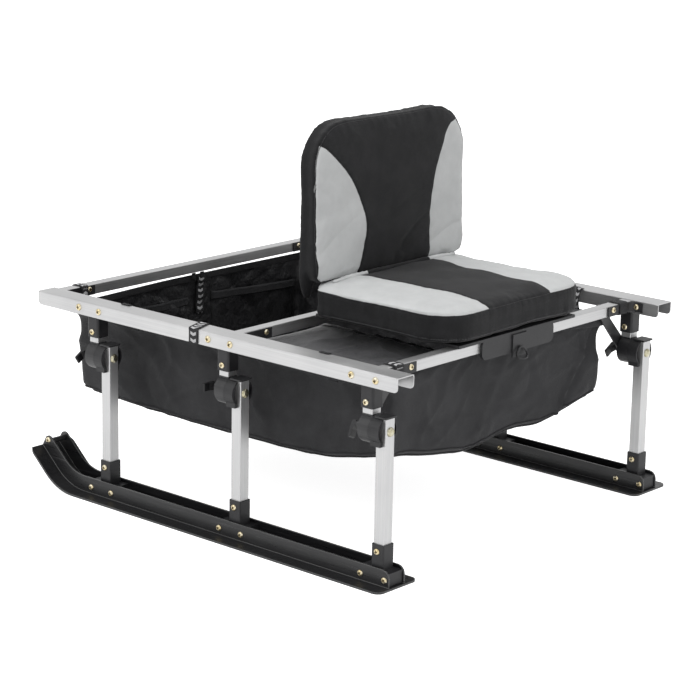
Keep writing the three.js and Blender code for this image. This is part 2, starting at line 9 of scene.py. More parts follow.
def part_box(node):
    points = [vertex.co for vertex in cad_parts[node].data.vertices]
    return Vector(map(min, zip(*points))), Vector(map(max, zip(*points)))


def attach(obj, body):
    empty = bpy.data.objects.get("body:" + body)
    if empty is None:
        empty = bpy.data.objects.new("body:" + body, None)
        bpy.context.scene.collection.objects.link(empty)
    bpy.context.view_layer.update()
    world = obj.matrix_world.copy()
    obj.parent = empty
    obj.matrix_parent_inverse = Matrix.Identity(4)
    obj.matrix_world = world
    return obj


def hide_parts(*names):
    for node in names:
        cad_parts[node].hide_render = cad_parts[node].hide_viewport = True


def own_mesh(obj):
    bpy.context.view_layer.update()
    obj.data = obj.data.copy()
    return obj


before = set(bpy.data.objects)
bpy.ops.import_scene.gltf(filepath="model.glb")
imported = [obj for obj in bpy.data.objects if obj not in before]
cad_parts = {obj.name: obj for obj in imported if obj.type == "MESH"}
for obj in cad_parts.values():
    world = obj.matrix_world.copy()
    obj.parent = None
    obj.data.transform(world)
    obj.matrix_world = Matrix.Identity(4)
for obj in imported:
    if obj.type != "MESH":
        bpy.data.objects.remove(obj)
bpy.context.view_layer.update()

SIDES = {"near": -1, "far": 1}
STATIONS = ("front", "middle", "rear")

# Camera
AZIMUTH = math.radians(41.30)
ELEVATION = math.radians(14.50)
ROLL = math.radians(1.08)
DISTANCE = 5.0412
TARGET = Vector((0, -0.0135, 0.3043))
LENS = 121.3
SENSOR = 36.0

# Ways in the shared frame, and a slant that no seam runs along
ALONG = Vector((1, 0, 0))
ACROSS = Vector((0, 1, 0))
UP = Vector((0, 0, 1))
SLANT = Vector((0.31, 0.17, 0.93))


def look(azimuth, elevation, roll):
    """Axes of a camera that looks at the sled: right, up and back."""
    right = Vector((math.cos(azimuth), math.sin(azimuth), 0))
    back = Vector((math.sin(azimuth) * math.cos(elevation),
                   -math.cos(azimuth) * math.cos(elevation), math.sin(elevation)))
    up = back.cross(right)
    turned = right * math.cos(roll) + up * math.sin(roll)
    return turned, back.cross(turned), back


def add_camera():
    right, up, back = look(AZIMUTH, ELEVATION, ROLL)
    data = bpy.data.cameras.new("camera")
    data.lens = LENS
    data.sensor_width = SENSOR
    data.clip_end = 50
    camera = bpy.data.objects.new("camera", data)
    camera.matrix_world = Matrix((right, up, back)).transposed().to_4x4()
    camera.location = TARGET + back * DISTANCE
    bpy.context.scene.collection.objects.link(camera)
    bpy.context.scene.camera = camera


# Materials

class Nodes:
    """Short calls that add nodes to one material."""

    def __init__(self, owner, shader="Principled BSDF"):
        self.tree = owner.node_tree
        self.shader = self.tree.nodes[shader]

    def add(self, kind, inputs=(), **settings):
        node = self.tree.nodes.new(kind)
        for name, value in settings.items():
            setattr(node, name, value)
        for place, value in dict(inputs).items():
            self.put(node.inputs[place], value)
        return node

    def put(self, socket, value):
        if isinstance(value, bpy.types.NodeSocket):
            self.tree.links.new(value, socket)
        elif socket.type == "RGBA":
            socket.default_value = (*value, 1.0)
        else:
            socket.default_value = value

    def give(self, name, value):
        """Sets or links one of the shader's inputs."""
        self.put(self.shader.inputs[name], value)

    def place(self):
        return self.add("ShaderNodeTexCoord").outputs["Object"]

    def facing(self):
        return self.add("ShaderNodeTexCoord").outputs["Normal"]

    def along(self):
        return self.add("ShaderNodeUVMap").outputs["UV"]

    def parts(self, vector):
        return self.add("ShaderNodeSeparateXYZ", {0: vector}).outputs

    def math(self, operation, first, second=0.0, third=0.0, clamp=False):
        node = self.add("ShaderNodeMath", {0: first, 1: second, 2: third}, operation=operation)
        node.use_clamp = clamp
        return node.outputs[0]

    def times(self, first, second):
        return self.math("MULTIPLY", first, second)

    def plus(self, first, second):
        return self.math("ADD", first, second)

    def minus(self, first, second):
        return self.math("SUBTRACT", first, second)

    def size_of(self, value):
        return self.math("ABSOLUTE", value)

    def dot(self, first, second):
        inputs = {0: first, 1: second}
        return self.add("ShaderNodeVectorMath", inputs, operation="DOT_PRODUCT").outputs["Value"]

    def stretched(self, vector, scale):
        return self.add("ShaderNodeVectorMath", {0: vector, 1: scale}, operation="MULTIPLY").outputs[0]

    def noise(self, vector, scale, detail=3.0, roughness=0.5):
        inputs = {"Vector": vector, "Scale": scale, "Detail": detail, "Roughness": roughness}
        return self.add("ShaderNodeTexNoise", inputs).outputs[0]

    def span(self, value, low, high, start=0.0, end=1.0):
        """The value's share of the way from low to high, turned into start to end."""
        inputs = {0: value, 1: low, 2: high, 3: start, 4: end}
        return self.add("ShaderNodeMapRange", inputs).outputs[0]

    def curve(self, value, points):
        node = self.add("ShaderNodeFloatCurve", {1: value})
        curve = node.mapping.curves[0]
        curve.points[0].location, curve.points[1].location = points[0], points[-1]
        for x, y in points[1:-1]:
            curve.points.new(x, y)
        for point in curve.points:
            point.handle_type = "VECTOR"
        node.mapping.update()
        return node.outputs[0]

    def table(self, value, table, steps=24):
        """The value of a table's smooth curve, as smooth_value works it out."""
        low, high = table[0][0], table[-1][0]
        peak = max(entry[1] for entry in table) * 1.05
        points = [(step / steps, smooth_value(table, low + (high - low) * step / steps) / peak)
                  for step in range(steps + 1)]
        return self.times(self.curve(self.span(value, low, high), points), peak)

    def mix(self, share, first, second):
        return self.add("ShaderNodeMix", {0: share, 6: first, 7: second}, data_type="RGBA").outputs[2]

    def bump(self, height, distance, strength=1.0, normal=None):
        inputs = {"Height": height, "Distance": distance, "Strength": strength}
        if normal is not None:
            inputs["Normal"] = normal
        return self.add("ShaderNodeBump", inputs).outputs[0]


def smooth_value(table, place):
    """Smooth curve through a table of places and values, level past its ends."""
    if place <= table[0][0]:
        return table[0][1]
    if place >= table[-1][0]:
        return table[-1][1]
    step = max(count for count, entry in enumerate(table) if entry[0] <= place)
    before, first = table[max(step - 1, 0)], table[step]
    second, after = table[step + 1], table[min(step + 2, len(table) - 1)]
    span = second[0] - first[0]
    share = (place - first[0]) / span
    leaving = (second[1] - before[1]) / (second[0] - before[0]) * span
    arriving = (after[1] - first[1]) / (after[0] - first[0]) * span
    square, cube = share ** 2, share ** 3
    return (first[1] * (2 * cube - 3 * square + 1) + leaving * (cube - 2 * square + share)
            + second[1] * (3 * square - 2 * cube) + arriving * (cube - square))


def smooth_step(share):
    share = min(max(share, 0.0), 1.0)
    return share * share * (3 - 2 * share)


def bell(distance, width):
    return math.exp(-(distance / width) ** 2)


def waver(x, y, z):
    return noise.noise(Vector((x, y, z)))


# Dark and light tone of bare aluminium and of moulded plastic
BARE = ((0.43, 0.43, 0.435), (0.53, 0.53, 0.53))
MOULDED = ((0.014, 0.014, 0.0155), (0.031, 0.031, 0.033))


def new_material(name, roughness, metallic=0.0, specular=0.5):
    material = bpy.data.materials.new(name)
    material.use_nodes = True
    nodes = Nodes(material)
    nodes.give("Roughness", roughness)
    nodes.give("Metallic", metallic)
    nodes.give("Specular IOR Level", specular)
    return material, nodes


def extruded_aluminium(name, grain):
    """Anodised extrusion: fine draw lines along its length and a faint cloudiness."""
    material, nodes = new_material(name, roughness=0.42, metallic=0.85)
    place = nodes.place()
    lines = nodes.noise(nodes.stretched(place, grain), 1.0, 4.0, 0.6)
    clouds = nodes.noise(place, 9.0, 2.0)
    tone = nodes.plus(nodes.times(lines, 0.6), nodes.times(clouds, 0.4))
    nodes.give("Base Color", nodes.mix(nodes.span(tone, 0.35, 0.65), *BARE))
    nodes.give("Roughness", nodes.span(tone, 0.3, 0.7, 0.34, 0.5))
    nodes.give("Normal", nodes.bump(lines, distance=0.00012, strength=0.5))
    return material


def moulded_plastic(name, dark, light, roughness, grain=900.0):
    """Black moulded plastic: fine texture, a dusty cloudiness and a few pale scuffs."""
    material, nodes = new_material(name, roughness, specular=0.34)
    place = nodes.place()
    clouds = nodes.noise(place, 22.0, 4.0)
    scuffs = nodes.noise(nodes.stretched(place, (60, 60, 420)), 1.0, 3.0, 0.7)
    scuffed = nodes.times(nodes.span(scuffs, 0.62, 0.74), 0.5)
    share = nodes.math("ADD", nodes.span(clouds, 0.35, 0.7), scuffed, clamp=True)
    nodes.give("Base Color", nodes.mix(share, dark, light))
    nodes.give("Roughness", nodes.span(clouds, 0.3, 0.7, roughness - 0.06, roughness + 0.08))
    nodes.give("Normal", nodes.bump(nodes.noise(place, grain, 2.0), distance=0.00015, strength=0.6))
    return material


def ski_plastic():
    """Smooth black plastic with long scratches along the ski, and a painted highlight along its edges."""
    material, nodes = new_material("ski_plastic", roughness=0.34)
    place = nodes.place()
    scratches = nodes.noise(nodes.stretched(place, (9, 600, 300)), 1.0, 4.0, 0.7)
    patches = nodes.noise(place, 6.0, 3.0)
    worn = nodes.times(nodes.span(scratches, 0.6, 0.75), nodes.span(patches, 0.45, 0.65))
    edge = nodes.add("ShaderNodeBevel", {"Radius": 0.0018}, samples=8).outputs[0]
    flat = nodes.add("ShaderNodeNewGeometry").outputs["Normal"]
    turned = nodes.dot(edge, flat)
    # Pale colour where the bevel normal turns away from the flat one is a painted highlight along the edges.
    edge_highlight = nodes.times(nodes.span(turned, 0.995, 0.9), nodes.span(patches, 0.3, 0.5, 0.35, 0.9))
    tint = nodes.mix(worn, (0.011, 0.011, 0.012), (0.08, 0.08, 0.082))
    nodes.give("Base Color", nodes.mix(edge_highlight, tint, (0.17, 0.17, 0.17)))
    nodes.give("Roughness", nodes.span(scratches, 0.35, 0.75, 0.26, 0.55))
    nodes.give("Normal", nodes.bump(scratches, distance=0.0001, strength=0.4, normal=edge))
    return material


def painted_steel():
    """Black powder coat with a fine orange peel."""
    material, nodes = new_material("black_steel", roughness=0.38)
    place = nodes.place()
    peel = nodes.noise(place, 260.0, 2.0)
    clouds = nodes.noise(place, 30.0)
    nodes.give("Base Color", nodes.mix(clouds, (0.012, 0.012, 0.013), (0.03, 0.03, 0.032)))
    nodes.give("Normal", nodes.bump(peel, distance=0.0003, strength=0.35))
    return material


def plated_steel(name, pale, warm):
    """Plated fastener steel, whose tint drifts from pale to warm."""
    material, nodes = new_material(name, roughness=0.28, metallic=1.0)
    place = nodes.place()
    drift = nodes.span(nodes.noise(place, 120.0, 3.0), 0.35, 0.65)
    nodes.give("Base Color", nodes.mix(drift, pale, warm))
    nodes.give("Roughness", nodes.span(nodes.noise(place, 700.0), 0.3, 0.7, 0.2, 0.4))
    return material


def hinge_finish(low, high):
    """The upper leg node: bare aluminium stub between two heights, black hinge and pin elsewhere."""
    material, nodes = new_material("hinge_and_stub", roughness=0.45, specular=0.45)
    place = nodes.place()
    height = nodes.parts(place)[2]
    inside = nodes.times(nodes.math("GREATER_THAN", height, low), nodes.math("LESS_THAN", height, high))
    clouds = nodes.span(nodes.noise(place, 22.0, 4.0), 0.35, 0.7)
    lines = nodes.noise(nodes.stretched(place, (500, 500, 6)), 1.0, 4.0, 0.6)
    nodes.give("Base Color", nodes.mix(inside, nodes.mix(clouds, *MOULDED), nodes.mix(lines, *BARE)))
    nodes.give("Metallic", nodes.times(inside, 0.85))
    nodes.give("Normal", nodes.bump(nodes.noise(place, 900.0, 2.0), distance=0.00015, strength=0.5))
    return material


def weave(nodes, pitch):
    """Height of crossing threads, laid on each surface by the way that it faces."""
    turn = 2 * math.pi / pitch
    waves = [nodes.math("SINE", part) for part in nodes.parts(nodes.stretched(nodes.place(), (turn,) * 3))]
    facing = [nodes.math("POWER", nodes.size_of(part), 4.0) for part in nodes.parts(nodes.facing())]
    layers = [nodes.times(nodes.times(waves[(axis + 1) % 3], waves[(axis + 2) % 3]), facing[axis])
              for axis in range(3)]
    return nodes.plus(nodes.plus(layers[0], layers[1]), layers[2])


def cloth(name, dark, light, pitch, roughness, sheen, crumple, paint=None, gloss=0.3, scale=26.0):
    """Woven cloth: threads and a soft crumple, with the tone painted lighter on their crests and darker in
    their hollows as painted shading. paint may lay panels over the colour.
    """
    material, nodes = new_material(name, roughness, specular=gloss)
    nodes.give("Sheen Weight", sheen)
    nodes.give("Sheen Roughness", 0.5)
    threads = weave(nodes, pitch)
    crumples = nodes.noise(nodes.place(), scale, 5.0, 0.6)
    # The tone follows the height of the crumple and the threads: painted shading, lighter on the crests.
    share = nodes.plus(nodes.span(crumples, 0.3, 0.7, 0.1, 0.8), nodes.times(threads, 0.15))
    tint = nodes.mix(share, dark, light)
    if paint is not None:
        tint = paint(nodes, tint, share)
    nodes.give("Base Color", tint)
    folds = nodes.bump(crumples, crumple, strength=0.8)
    nodes.give("Normal", nodes.bump(threads, distance=0.00012, strength=0.7, normal=folds))
    return material


def coated_cloth():
    """Inside of the basket: a shiny coating with sharp crinkles, painted paler along the crinkle lines as
    painted highlight.
    """
    material, nodes = new_material("basket_coating", roughness=0.38)
    place = nodes.place()
    crinkles = nodes.size_of(nodes.minus(nodes.noise(place, 17.0, 5.0, 0.6), 0.5))
    # Paler colour along the crinkle lines is a painted highlight.
    share = nodes.span(crinkles, 0.0, 0.12)
    nodes.give("Base Color", nodes.mix(share, (0.03, 0.03, 0.032), (0.016, 0.016, 0.017)))
    nodes.give("Roughness", nodes.span(nodes.noise(place, 40.0), 0.3, 0.7, 0.3, 0.5))
    folds = nodes.bump(crinkles, distance=0.012, strength=1.0)
    nodes.give("Normal", nodes.bump(weave(nodes, 0.0007), distance=0.00006, strength=0.5, normal=folds))
    return material


def webbing(name, marks):
    """Woven strap with ribs across it; marks weaves a row of pale dashes along its middle."""
    material, nodes = new_material(name, roughness=0.75, specular=0.3)
    along, across, _ = nodes.parts(nodes.along())
    ribs = nodes.math("SINE", nodes.times(along, 2 * math.pi / 0.0013))
    tint = nodes.mix(nodes.span(ribs, -1.0, 1.0), (0.012, 0.012, 0.013), (0.035, 0.035, 0.037))
    if marks:
        step = nodes.math("FRACT", nodes.math("DIVIDE", along, 0.014))
        off_middle = nodes.size_of(nodes.minus(across, 0.5))
        stroke = nodes.math("FRACT", nodes.plus(step, nodes.times(off_middle, 0.8)))
        band = nodes.math("LESS_THAN", off_middle, 0.3)
        mark = nodes.times(nodes.math("GREATER_THAN", stroke, 0.55), band)
        tint = nodes.mix(mark, tint, (0.55, 0.55, 0.56))
    nodes.give("Base Color", tint)
    nodes.give("Normal", nodes.bump(ribs, distance=0.0002, strength=0.6))
    return material


def stitch_thread():
    """Thread whose stitches show as paler dashes."""
    material, nodes = new_material("stitch_thread", roughness=0.6, specular=0.3)
    twist = nodes.math("SINE", nodes.times(nodes.parts(nodes.along())[0], 2 * math.pi / 0.0032))
    share = nodes.span(twist, -0.2, 0.4)
    nodes.give("Base Color", nodes.mix(share, (0.01, 0.01, 0.011), (0.06, 0.06, 0.063)))
    nodes.give("Normal", nodes.bump(twist, distance=0.0005, strength=0.8))
    return material


# Meshes

def mesh_object(name, points, faces, materials, smooth=True):
    mesh = bpy.data.meshes.new(name)
    mesh.from_pydata([tuple(point) for point in points], [], faces)
    mesh.validate()
    for material in materials:
        mesh.materials.append(material)
    if smooth:
        mesh.shade_smooth()
    piece = bpy.data.objects.new(name, mesh)
    bpy.context.scene.collection.objects.link(piece)
    return piece


def place_piece(piece, body):
    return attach(piece, body)


def grid_faces(rows, width, wrapped, closed=False):
    """Faces between rows of points. wrapped joins each row's ends, and closed the last row to the first."""
    faces = []
    for row in range(rows if closed else rows - 1):
        following = (row + 1) % rows
        for place in range(width if wrapped else width - 1):
            turned = (place + 1) % width
            faces.append((row * width + place, row * width + turned,
                          following * width + turned, following * width + place))
    return faces


def sweep(path, half_width, half_height, side, closed, corners=8, power=2.0):
    """Points, faces and UVs of a rounded bar along a path. side is the way that its width lies."""
    count = len(path)
    points, uvs = [], []
    length = 0.0
    for place, point in enumerate(path):
        before = path[place - 1] if place or closed else point
        after = path[(place + 1) % count] if place + 1 < count or closed else point
        tangent = (after - before).normalized()
        wide = (side - tangent * side.dot(tangent)).normalized()
        tall = tangent.cross(wide)
        if place:
            length += (point - path[place - 1]).length
        for corner in range(corners):
            turn = 2 * math.pi * (corner + 0.5) / corners
            cosine, sine = math.cos(turn), math.sin(turn)
            x = math.copysign(abs(cosine) ** (2 / power), cosine) * half_width
            y = math.copysign(abs(sine) ** (2 / power), sine) * half_height
            points.append(point + wide * x + tall * y)
            uvs.append((length, 0.5 + 0.5 * x / half_width))
    faces = grid_faces(count, corners, True, closed)
    if not closed:
        faces.append(tuple(range(corners))[::-1])
        faces.append(tuple((count - 1) * corners + corner for corner in range(corners)))
    return points, faces, uvs


def swept_piece(name, path, half_width, half_height, side, material, closed=False, corners=8, power=2.0):
    points, faces, uvs = sweep(path, half_width, half_height, side, closed, corners, power)
    piece = mesh_object(name, points, faces, [material])
    layer = piece.data.uv_layers.new(name="UVMap")
    for loop in piece.data.loops:
        layer.data[loop.index].uv = uvs[loop.vertex_index]
    return piece


def cord(name, path, radius, material, closed):
    """Round cord along the path."""
    return swept_piece(name, path, radius, radius, SLANT, material, closed)


THREAD_RADIUS = 0.0005


def stitching(name, path, closed):
    """Row of stitches along a hem."""
    return swept_piece(name, path, THREAD_RADIUS, THREAD_RADIUS, UP, STITCHES, closed, corners=6)


def wrap_path(centre, half_a, half_b, axis_a, axis_b, radius, steps=6):
    """Closed path round a rectangle with rounded corners."""
    path = []
    for quarter, (sign_a, sign_b) in enumerate(((1, 1), (-1, 1), (-1, -1), (1, -1))):
        for step in range(steps + 1):
            turn = math.pi / 2 * (quarter + step / steps)
            a = sign_a * (half_a - radius) + radius * math.cos(turn)
            b = sign_b * (half_b - radius) + radius * math.sin(turn)
            path.append(centre + axis_a * a + axis_b * b)
    return path


def resampled(path, spacing, closed=False):
    """The same path with points at an even spacing."""
    points = path + [path[0]] if closed else path
    lengths = [0.0]
    for first, second in zip(points, points[1:]):
        lengths.append(lengths[-1] + (second - first).length)
    count = max(2, round(lengths[-1] / spacing))
    result, place = [], 0
    for step in range(count if closed else count + 1):
        goal = lengths[-1] * step / count
        while place + 2 < len(points) and lengths[place + 1] < goal:
            place += 1
        share = (goal - lengths[place]) / max(lengths[place + 1] - lengths[place], 1e-9)
        result.append(points[place].lerp(points[place + 1], min(share, 1.0)))
    return result


# Fasteners

def turned_head(radius, height, recess):
    """Points and faces of a domed screw head with a cross recess, or of a plain domed rivet."""
    sides = 32
    shares = (0.06, 0.14, 0.22, 0.3, 0.38, 0.46, 0.5, 0.56, 0.68, 0.8, 0.9, 0.97, 1.0)
    points = [Vector((0, 0, height - recess))]
    for share in shares:
        for side in range(sides):
            turn = 2 * math.pi * side / sides
            x, y = radius * share * math.cos(turn), radius * share * math.sin(turn)
            z = height * (1 - share ** 4) ** 0.6
            if recess and share < 0.5:
                in_cross = min(abs(x), abs(y)) < radius * 0.13
                z -= recess if in_cross else 0
            points.append(Vector((x, y, z)))
    faces = [(0, 1 + side, 1 + (side + 1) % sides) for side in range(sides)]
    for ring in range(len(shares) - 1):
        for side in range(sides):
            turned = (side + 1) % sides
            faces.append((1 + ring * sides + side, 1 + (ring + 1) * sides + side,
                          1 + (ring + 1) * sides + turned, 1 + ring * sides + turned))
    return points, faces


def add_heads(name, body, places, size, material):
    """Screw heads at places, each a point and the way that it faces, as one piece."""
    radius, height, recess = size
    head_points, head_faces = turned_head(radius, height, recess)
    # Faces sunk in the cross recess take the second material, darkened as painted shade.
    sunk = [any(head_points[corner].xy.length < radius * 0.49
                and head_points[corner].z < height * 0.75 for corner in face) for face in head_faces]
    points, faces = [], []
    for count, (place, way) in enumerate(places):
        spin = Matrix.Rotation(0.7 * count, 3, "Z")
        turn = Vector(way).to_track_quat("Z", "Y").to_matrix() @ spin
        start = len(points)
        points += [Vector(place) + turn @ point for point in head_points]
        faces += [tuple(start + corner for corner in face) for face in head_faces]
    piece = mesh_object(name, points, faces, [material, RECESS_SHADE])
    for face, low in zip(piece.data.polygons, sunk * len(places)):
        face.material_index = int(low)
    return place_piece(piece, body)


add_camera()


# Way to the bright backdrop, behind the front of the sled
BACKDROP_SIDE = (-0.76, 0.62, 0.19)
# Place, width and power of each lamp, and the point that they all face
LAMPS = {"key": ((-1.2, -3.6, 3.2), 2.6, 59), "fill": ((3.8, -1.2, 2.0), 2.4, 19),
         "top": ((0.3, 0.6, 4.2), 3.0, 40)}
LAMP_AIM = Vector((0, 0, 0.35))


def add_stage():
    """Pale floor that shows nearly white and keeps the sled's shadow, and soft lamps."""
    white = (1.0, 1.0, 1.0)
    material, nodes = new_material("floor", roughness=0.9, specular=0.1)
    nodes.give("Base Color", (0.8, 0.8, 0.8))
    rays = nodes.add("ShaderNodeLightPath").outputs
    seen = nodes.math("MAXIMUM", rays["Is Camera Ray"], rays["Is Glossy Ray"])
    nodes.give("Emission Color", white)
    nodes.give("Emission Strength", nodes.times(seen, 0.85))
    half = 30.0
    floor = mesh_object("floor", [(-half, -half, 0), (half, -half, 0), (half, half, 0), (-half, half, 0)],
                        [(0, 1, 2, 3)], [material], smooth=False)
    world = bpy.data.worlds.new("studio")
    world.use_nodes = True
    bpy.context.scene.world = world
    nodes = Nodes(world, "Background")
    side = nodes.dot(nodes.add("ShaderNodeTexCoord").outputs["Generated"], BACKDROP_SIDE)
    sky = nodes.span(side, -1.0, 1.0, 0.48, 0.78)
    rays = nodes.add("ShaderNodeLightPath").outputs
    for kind in ("Is Camera Ray", "Is Glossy Ray", "Is Transmission Ray"):
        sky = nodes.math("MAXIMUM", sky, rays[kind])
    nodes.give("Strength", sky)
    nodes.give("Color", white)
    for name, (place, size, power) in LAMPS.items():
        data = bpy.data.lights.new(name, "AREA")
        data.size = size
        data.energy = power
        lamp = bpy.data.objects.new(name, data)
        lamp.location = place
        lamp.rotation_euler = (LAMP_AIM - Vector(place)).to_track_quat("-Z", "Y").to_euler()
        bpy.context.scene.collection.objects.link(lamp)


add_stage()
bpy.context.scene.view_settings.view_transform = "Standard"

# Noise scale along the draw lines of an extrusion, and across them
LONG, FINE = 5, 420
ALUMINIUM_X = extruded_aluminium("aluminium_along_x", (LONG, FINE, FINE))
ALUMINIUM_Y = extruded_aluminium("aluminium_along_y", (FINE, LONG, FINE))
ALUMINIUM_Z = extruded_aluminium("aluminium_along_z", (FINE, FINE, LONG))
BLACK_PLASTIC = moulded_plastic("black_plastic", *MOULDED, roughness=0.48)
LEVER_PLASTIC = moulded_plastic("lever_plastic", (0.010, 0.010, 0.011), (0.024, 0.024, 0.026),
                                roughness=0.4, grain=1300.0)
SKI_PLASTIC = ski_plastic()
BLACK_STEEL = painted_steel()
PLATED = plated_steel("plated_steel", (0.66, 0.61, 0.48), (0.55, 0.45, 0.25))
ZINC = plated_steel("zinc_steel", (0.46, 0.44, 0.34), (0.34, 0.31, 0.2))
# Cross recesses of the screw heads: a dark steel tint as painted shade.
RECESS_SHADE = plated_steel("recess_steel", (0.16, 0.13, 0.07), (0.07, 0.05, 0.025))
WEBBING = webbing("webbing", False)
MARKED_WEBBING = webbing("webbing_with_marks", True)
STITCHES = stitch_thread()


def paint_nodes():
    """Gives each CAD node that stays visible its material."""
    sleeve_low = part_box("near_front_leg_socket")[0].z
    drum_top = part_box("near_front_lower_hinge")[1].z - 0.0007
    hinge = hinge_finish(drum_top, sleeve_low + 0.05)
    by_end = {"rail": ALUMINIUM_X, "cross_tube": ALUMINIUM_Y, "lower_leg": ALUMINIUM_Z, "upper_leg": hinge,
              "ski": SKI_PLASTIC, "brace": BLACK_STEEL, "tip_spacer": BLACK_PLASTIC, "lever": LEVER_PLASTIC,
              "strap_hook": BLACK_PLASTIC, "seat_base": BLACK_PLASTIC, "bracket": BLACK_PLASTIC,
              "socket": BLACK_PLASTIC, "hinge": BLACK_PLASTIC, "foot": BLACK_PLASTIC}
    for name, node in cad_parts.items():
        for ending, material in by_end.items():
            if name.endswith(ending):
                node.data.materials.clear()
                node.data.materials.append(material)


paint_nodes()


# Places on the CAD model

def at(node):
    """Low corner, high corner and middle of a CAD node's box."""
    low, high = map(Vector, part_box(node))
    return low, high, (low + high) / 2


def solid_of(name):
    """Points and faces of a CAD node."""
    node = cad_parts[name]
    points = [node.matrix_world @ vertex.co for vertex in node.data.vertices]
    return points, [tuple(face.vertices) for face in node.data.polygons]


def seated(name, point, way):
    """Where a line through the point meets the node from outside, and the way that this face looks."""
    way = Vector(way).normalized()
    nudge = Vector((0.0002, 0.0003, 0.0002))
    hit = BVHTree.FromPolygons(*solid_of(name)).ray_cast(Vector(point) + nudge + way * 0.2, -way)[0]
    return hit, way


SOCKETS = {(side, station): at(f"{side}_{station}_leg_socket")[2] for side in SIDES for station in STATIONS}
LEGS = {(side, station): at(f"{side}_{station}_lower_leg")[2] for side in SIDES for station in STATIONS}
TUBES = {station: at(f"{station}_cross_tube") for station in STATIONS}
RAILS = {side: at(f"{side}_rail") for side in SIDES}
DECK_TOP = RAILS["near"][1].z
HINGE_HEIGHT = DECK_TOP - 0.1162
# Radius, height and depth of the recess of each kind of head
FOOT_SCREW = (0.0068, 0.0032, 0.0014)
HINGE_BOLT = (0.0095, 0.005, 0)
RAIL_SCREW = (0.0074, 0.0034, 0.0015)
SLEEVE_SCREW = (0.0066, 0.0028, 0.0013)
BRACKET_SCREW = (0.0064, 0.003, 0.0013)
# Half the distance between the two screws of a pair along a rail or a ski
PAIR_HALF = 0.0305
RAIL_SCREW_DROP = 0.0147
SKI_WALL_HALF = 0.024
SKI_SCREW_HEIGHT = 0.017
SLEEVE_SCREW_HEIGHT = 0.356
FOOT_SCREW_HEIGHT = 0.066


def add_fasteners():
    rail, sleeve, bracket = [], [], []
    for side, sign in SIDES.items():
        legs, bolts = [], []
        for station in STATIONS:
            x = SOCKETS[side, station].x
            y = LEGS[side, station].y
            tube_x = TUBES[station][2].x
            for shift in (-PAIR_HALF, PAIR_HALF):
                rail.append(seated(f"{side}_rail", (x + shift, y, DECK_TOP - RAIL_SCREW_DROP), (0, sign, 0)))
                for way in (-1, 1):
                    wall = (x + 0.03 + shift, y + way * SKI_WALL_HALF, SKI_SCREW_HEIGHT)
                    legs.append(seated(f"{side}_ski", wall, (0, way, 0)))
            for way in (-1, 1):
                socket, foot = (x - 0.002, y, SLEEVE_SCREW_HEIGHT), (x + 0.033, y, FOOT_SCREW_HEIGHT)
                sleeve.append(seated(f"{side}_{station}_leg_socket", socket, (0, way, 0)))
                legs.append(seated(f"{side}_{station}_foot", foot, (0, way, 0)))
            ear = (tube_x + 0.016, sign * 0.332, DECK_TOP - 0.012)
            flange = (tube_x + 0.0278, sign * 0.38, DECK_TOP - 0.014)
            bracket.append(seated(f"{side}_{station}_tube_bracket", ear, (1, 0, 0)))
            bracket.append(seated(f"{side}_{station}_tube_bracket", flange, (0, -sign, 0)))
            face = at(f"{side}_{station}_lower_leg")[1].x
            bolts.append(((face, y, HINGE_HEIGHT), (1, 0, 0)))
        y = LEGS[side, "front"].y
        legs += [seated(f"{side}_ski", (-0.4805, y + way * 0.02, 0.0935), (0, way, 0)) for way in (-1, 1)]
        add_heads(f"{side}_foot_screws", f"{side}_ski_unit", legs, FOOT_SCREW, PLATED)
        add_heads(f"{side}_hinge_bolts", f"{side}_ski_unit", bolts, HINGE_BOLT, ZINC)
    add_heads("rail_screws", "frame", rail, RAIL_SCREW, PLATED)
    add_heads("sleeve_screws", "frame", sleeve, SLEEVE_SCREW, PLATED)
    add_heads("bracket_screws", "frame", bracket, BRACKET_SCREW, PLATED)


add_fasteners()

# Straps round the frame

STRAP_HALF = 0.0009
# Clearance between a strap and what it lies on
SKIN = 0.0004
WIDE_STRAP, REAR_STRAP, FRONT_STRAP = 0.0128, 0.0145, 0.0098


def strap(name, path, half_width, side, material, closed=False):
    """Flat woven strap along the path, which rides with the frame."""
    piece = swept_piece(name, path, half_width, STRAP_HALF, side, material, closed, power=6.0)
    return place_piece(piece, "frame")


def round_bar(name, centre, half_x, half_z, half_width, material, lean=None):
    """Strap wrapped round a bar that runs along Y, or along X where lean gives its slant."""
    along_x = lean is not None
    across, side = (ACROSS, ALONG) if along_x else (ALONG, ACROSS)
    reach = STRAP_HALF + SKIN
    path = wrap_path(centre, half_x + reach, half_z + reach, across, UP, 0.0035 + reach)
    path = resampled(path, 0.0025, closed=True)
    if along_x:
        path = [point + ALONG * (lean * (point.y - centre.y) / (2 * half_x)) for point in path]
    return strap(name, path, half_width, side, material, closed=True)


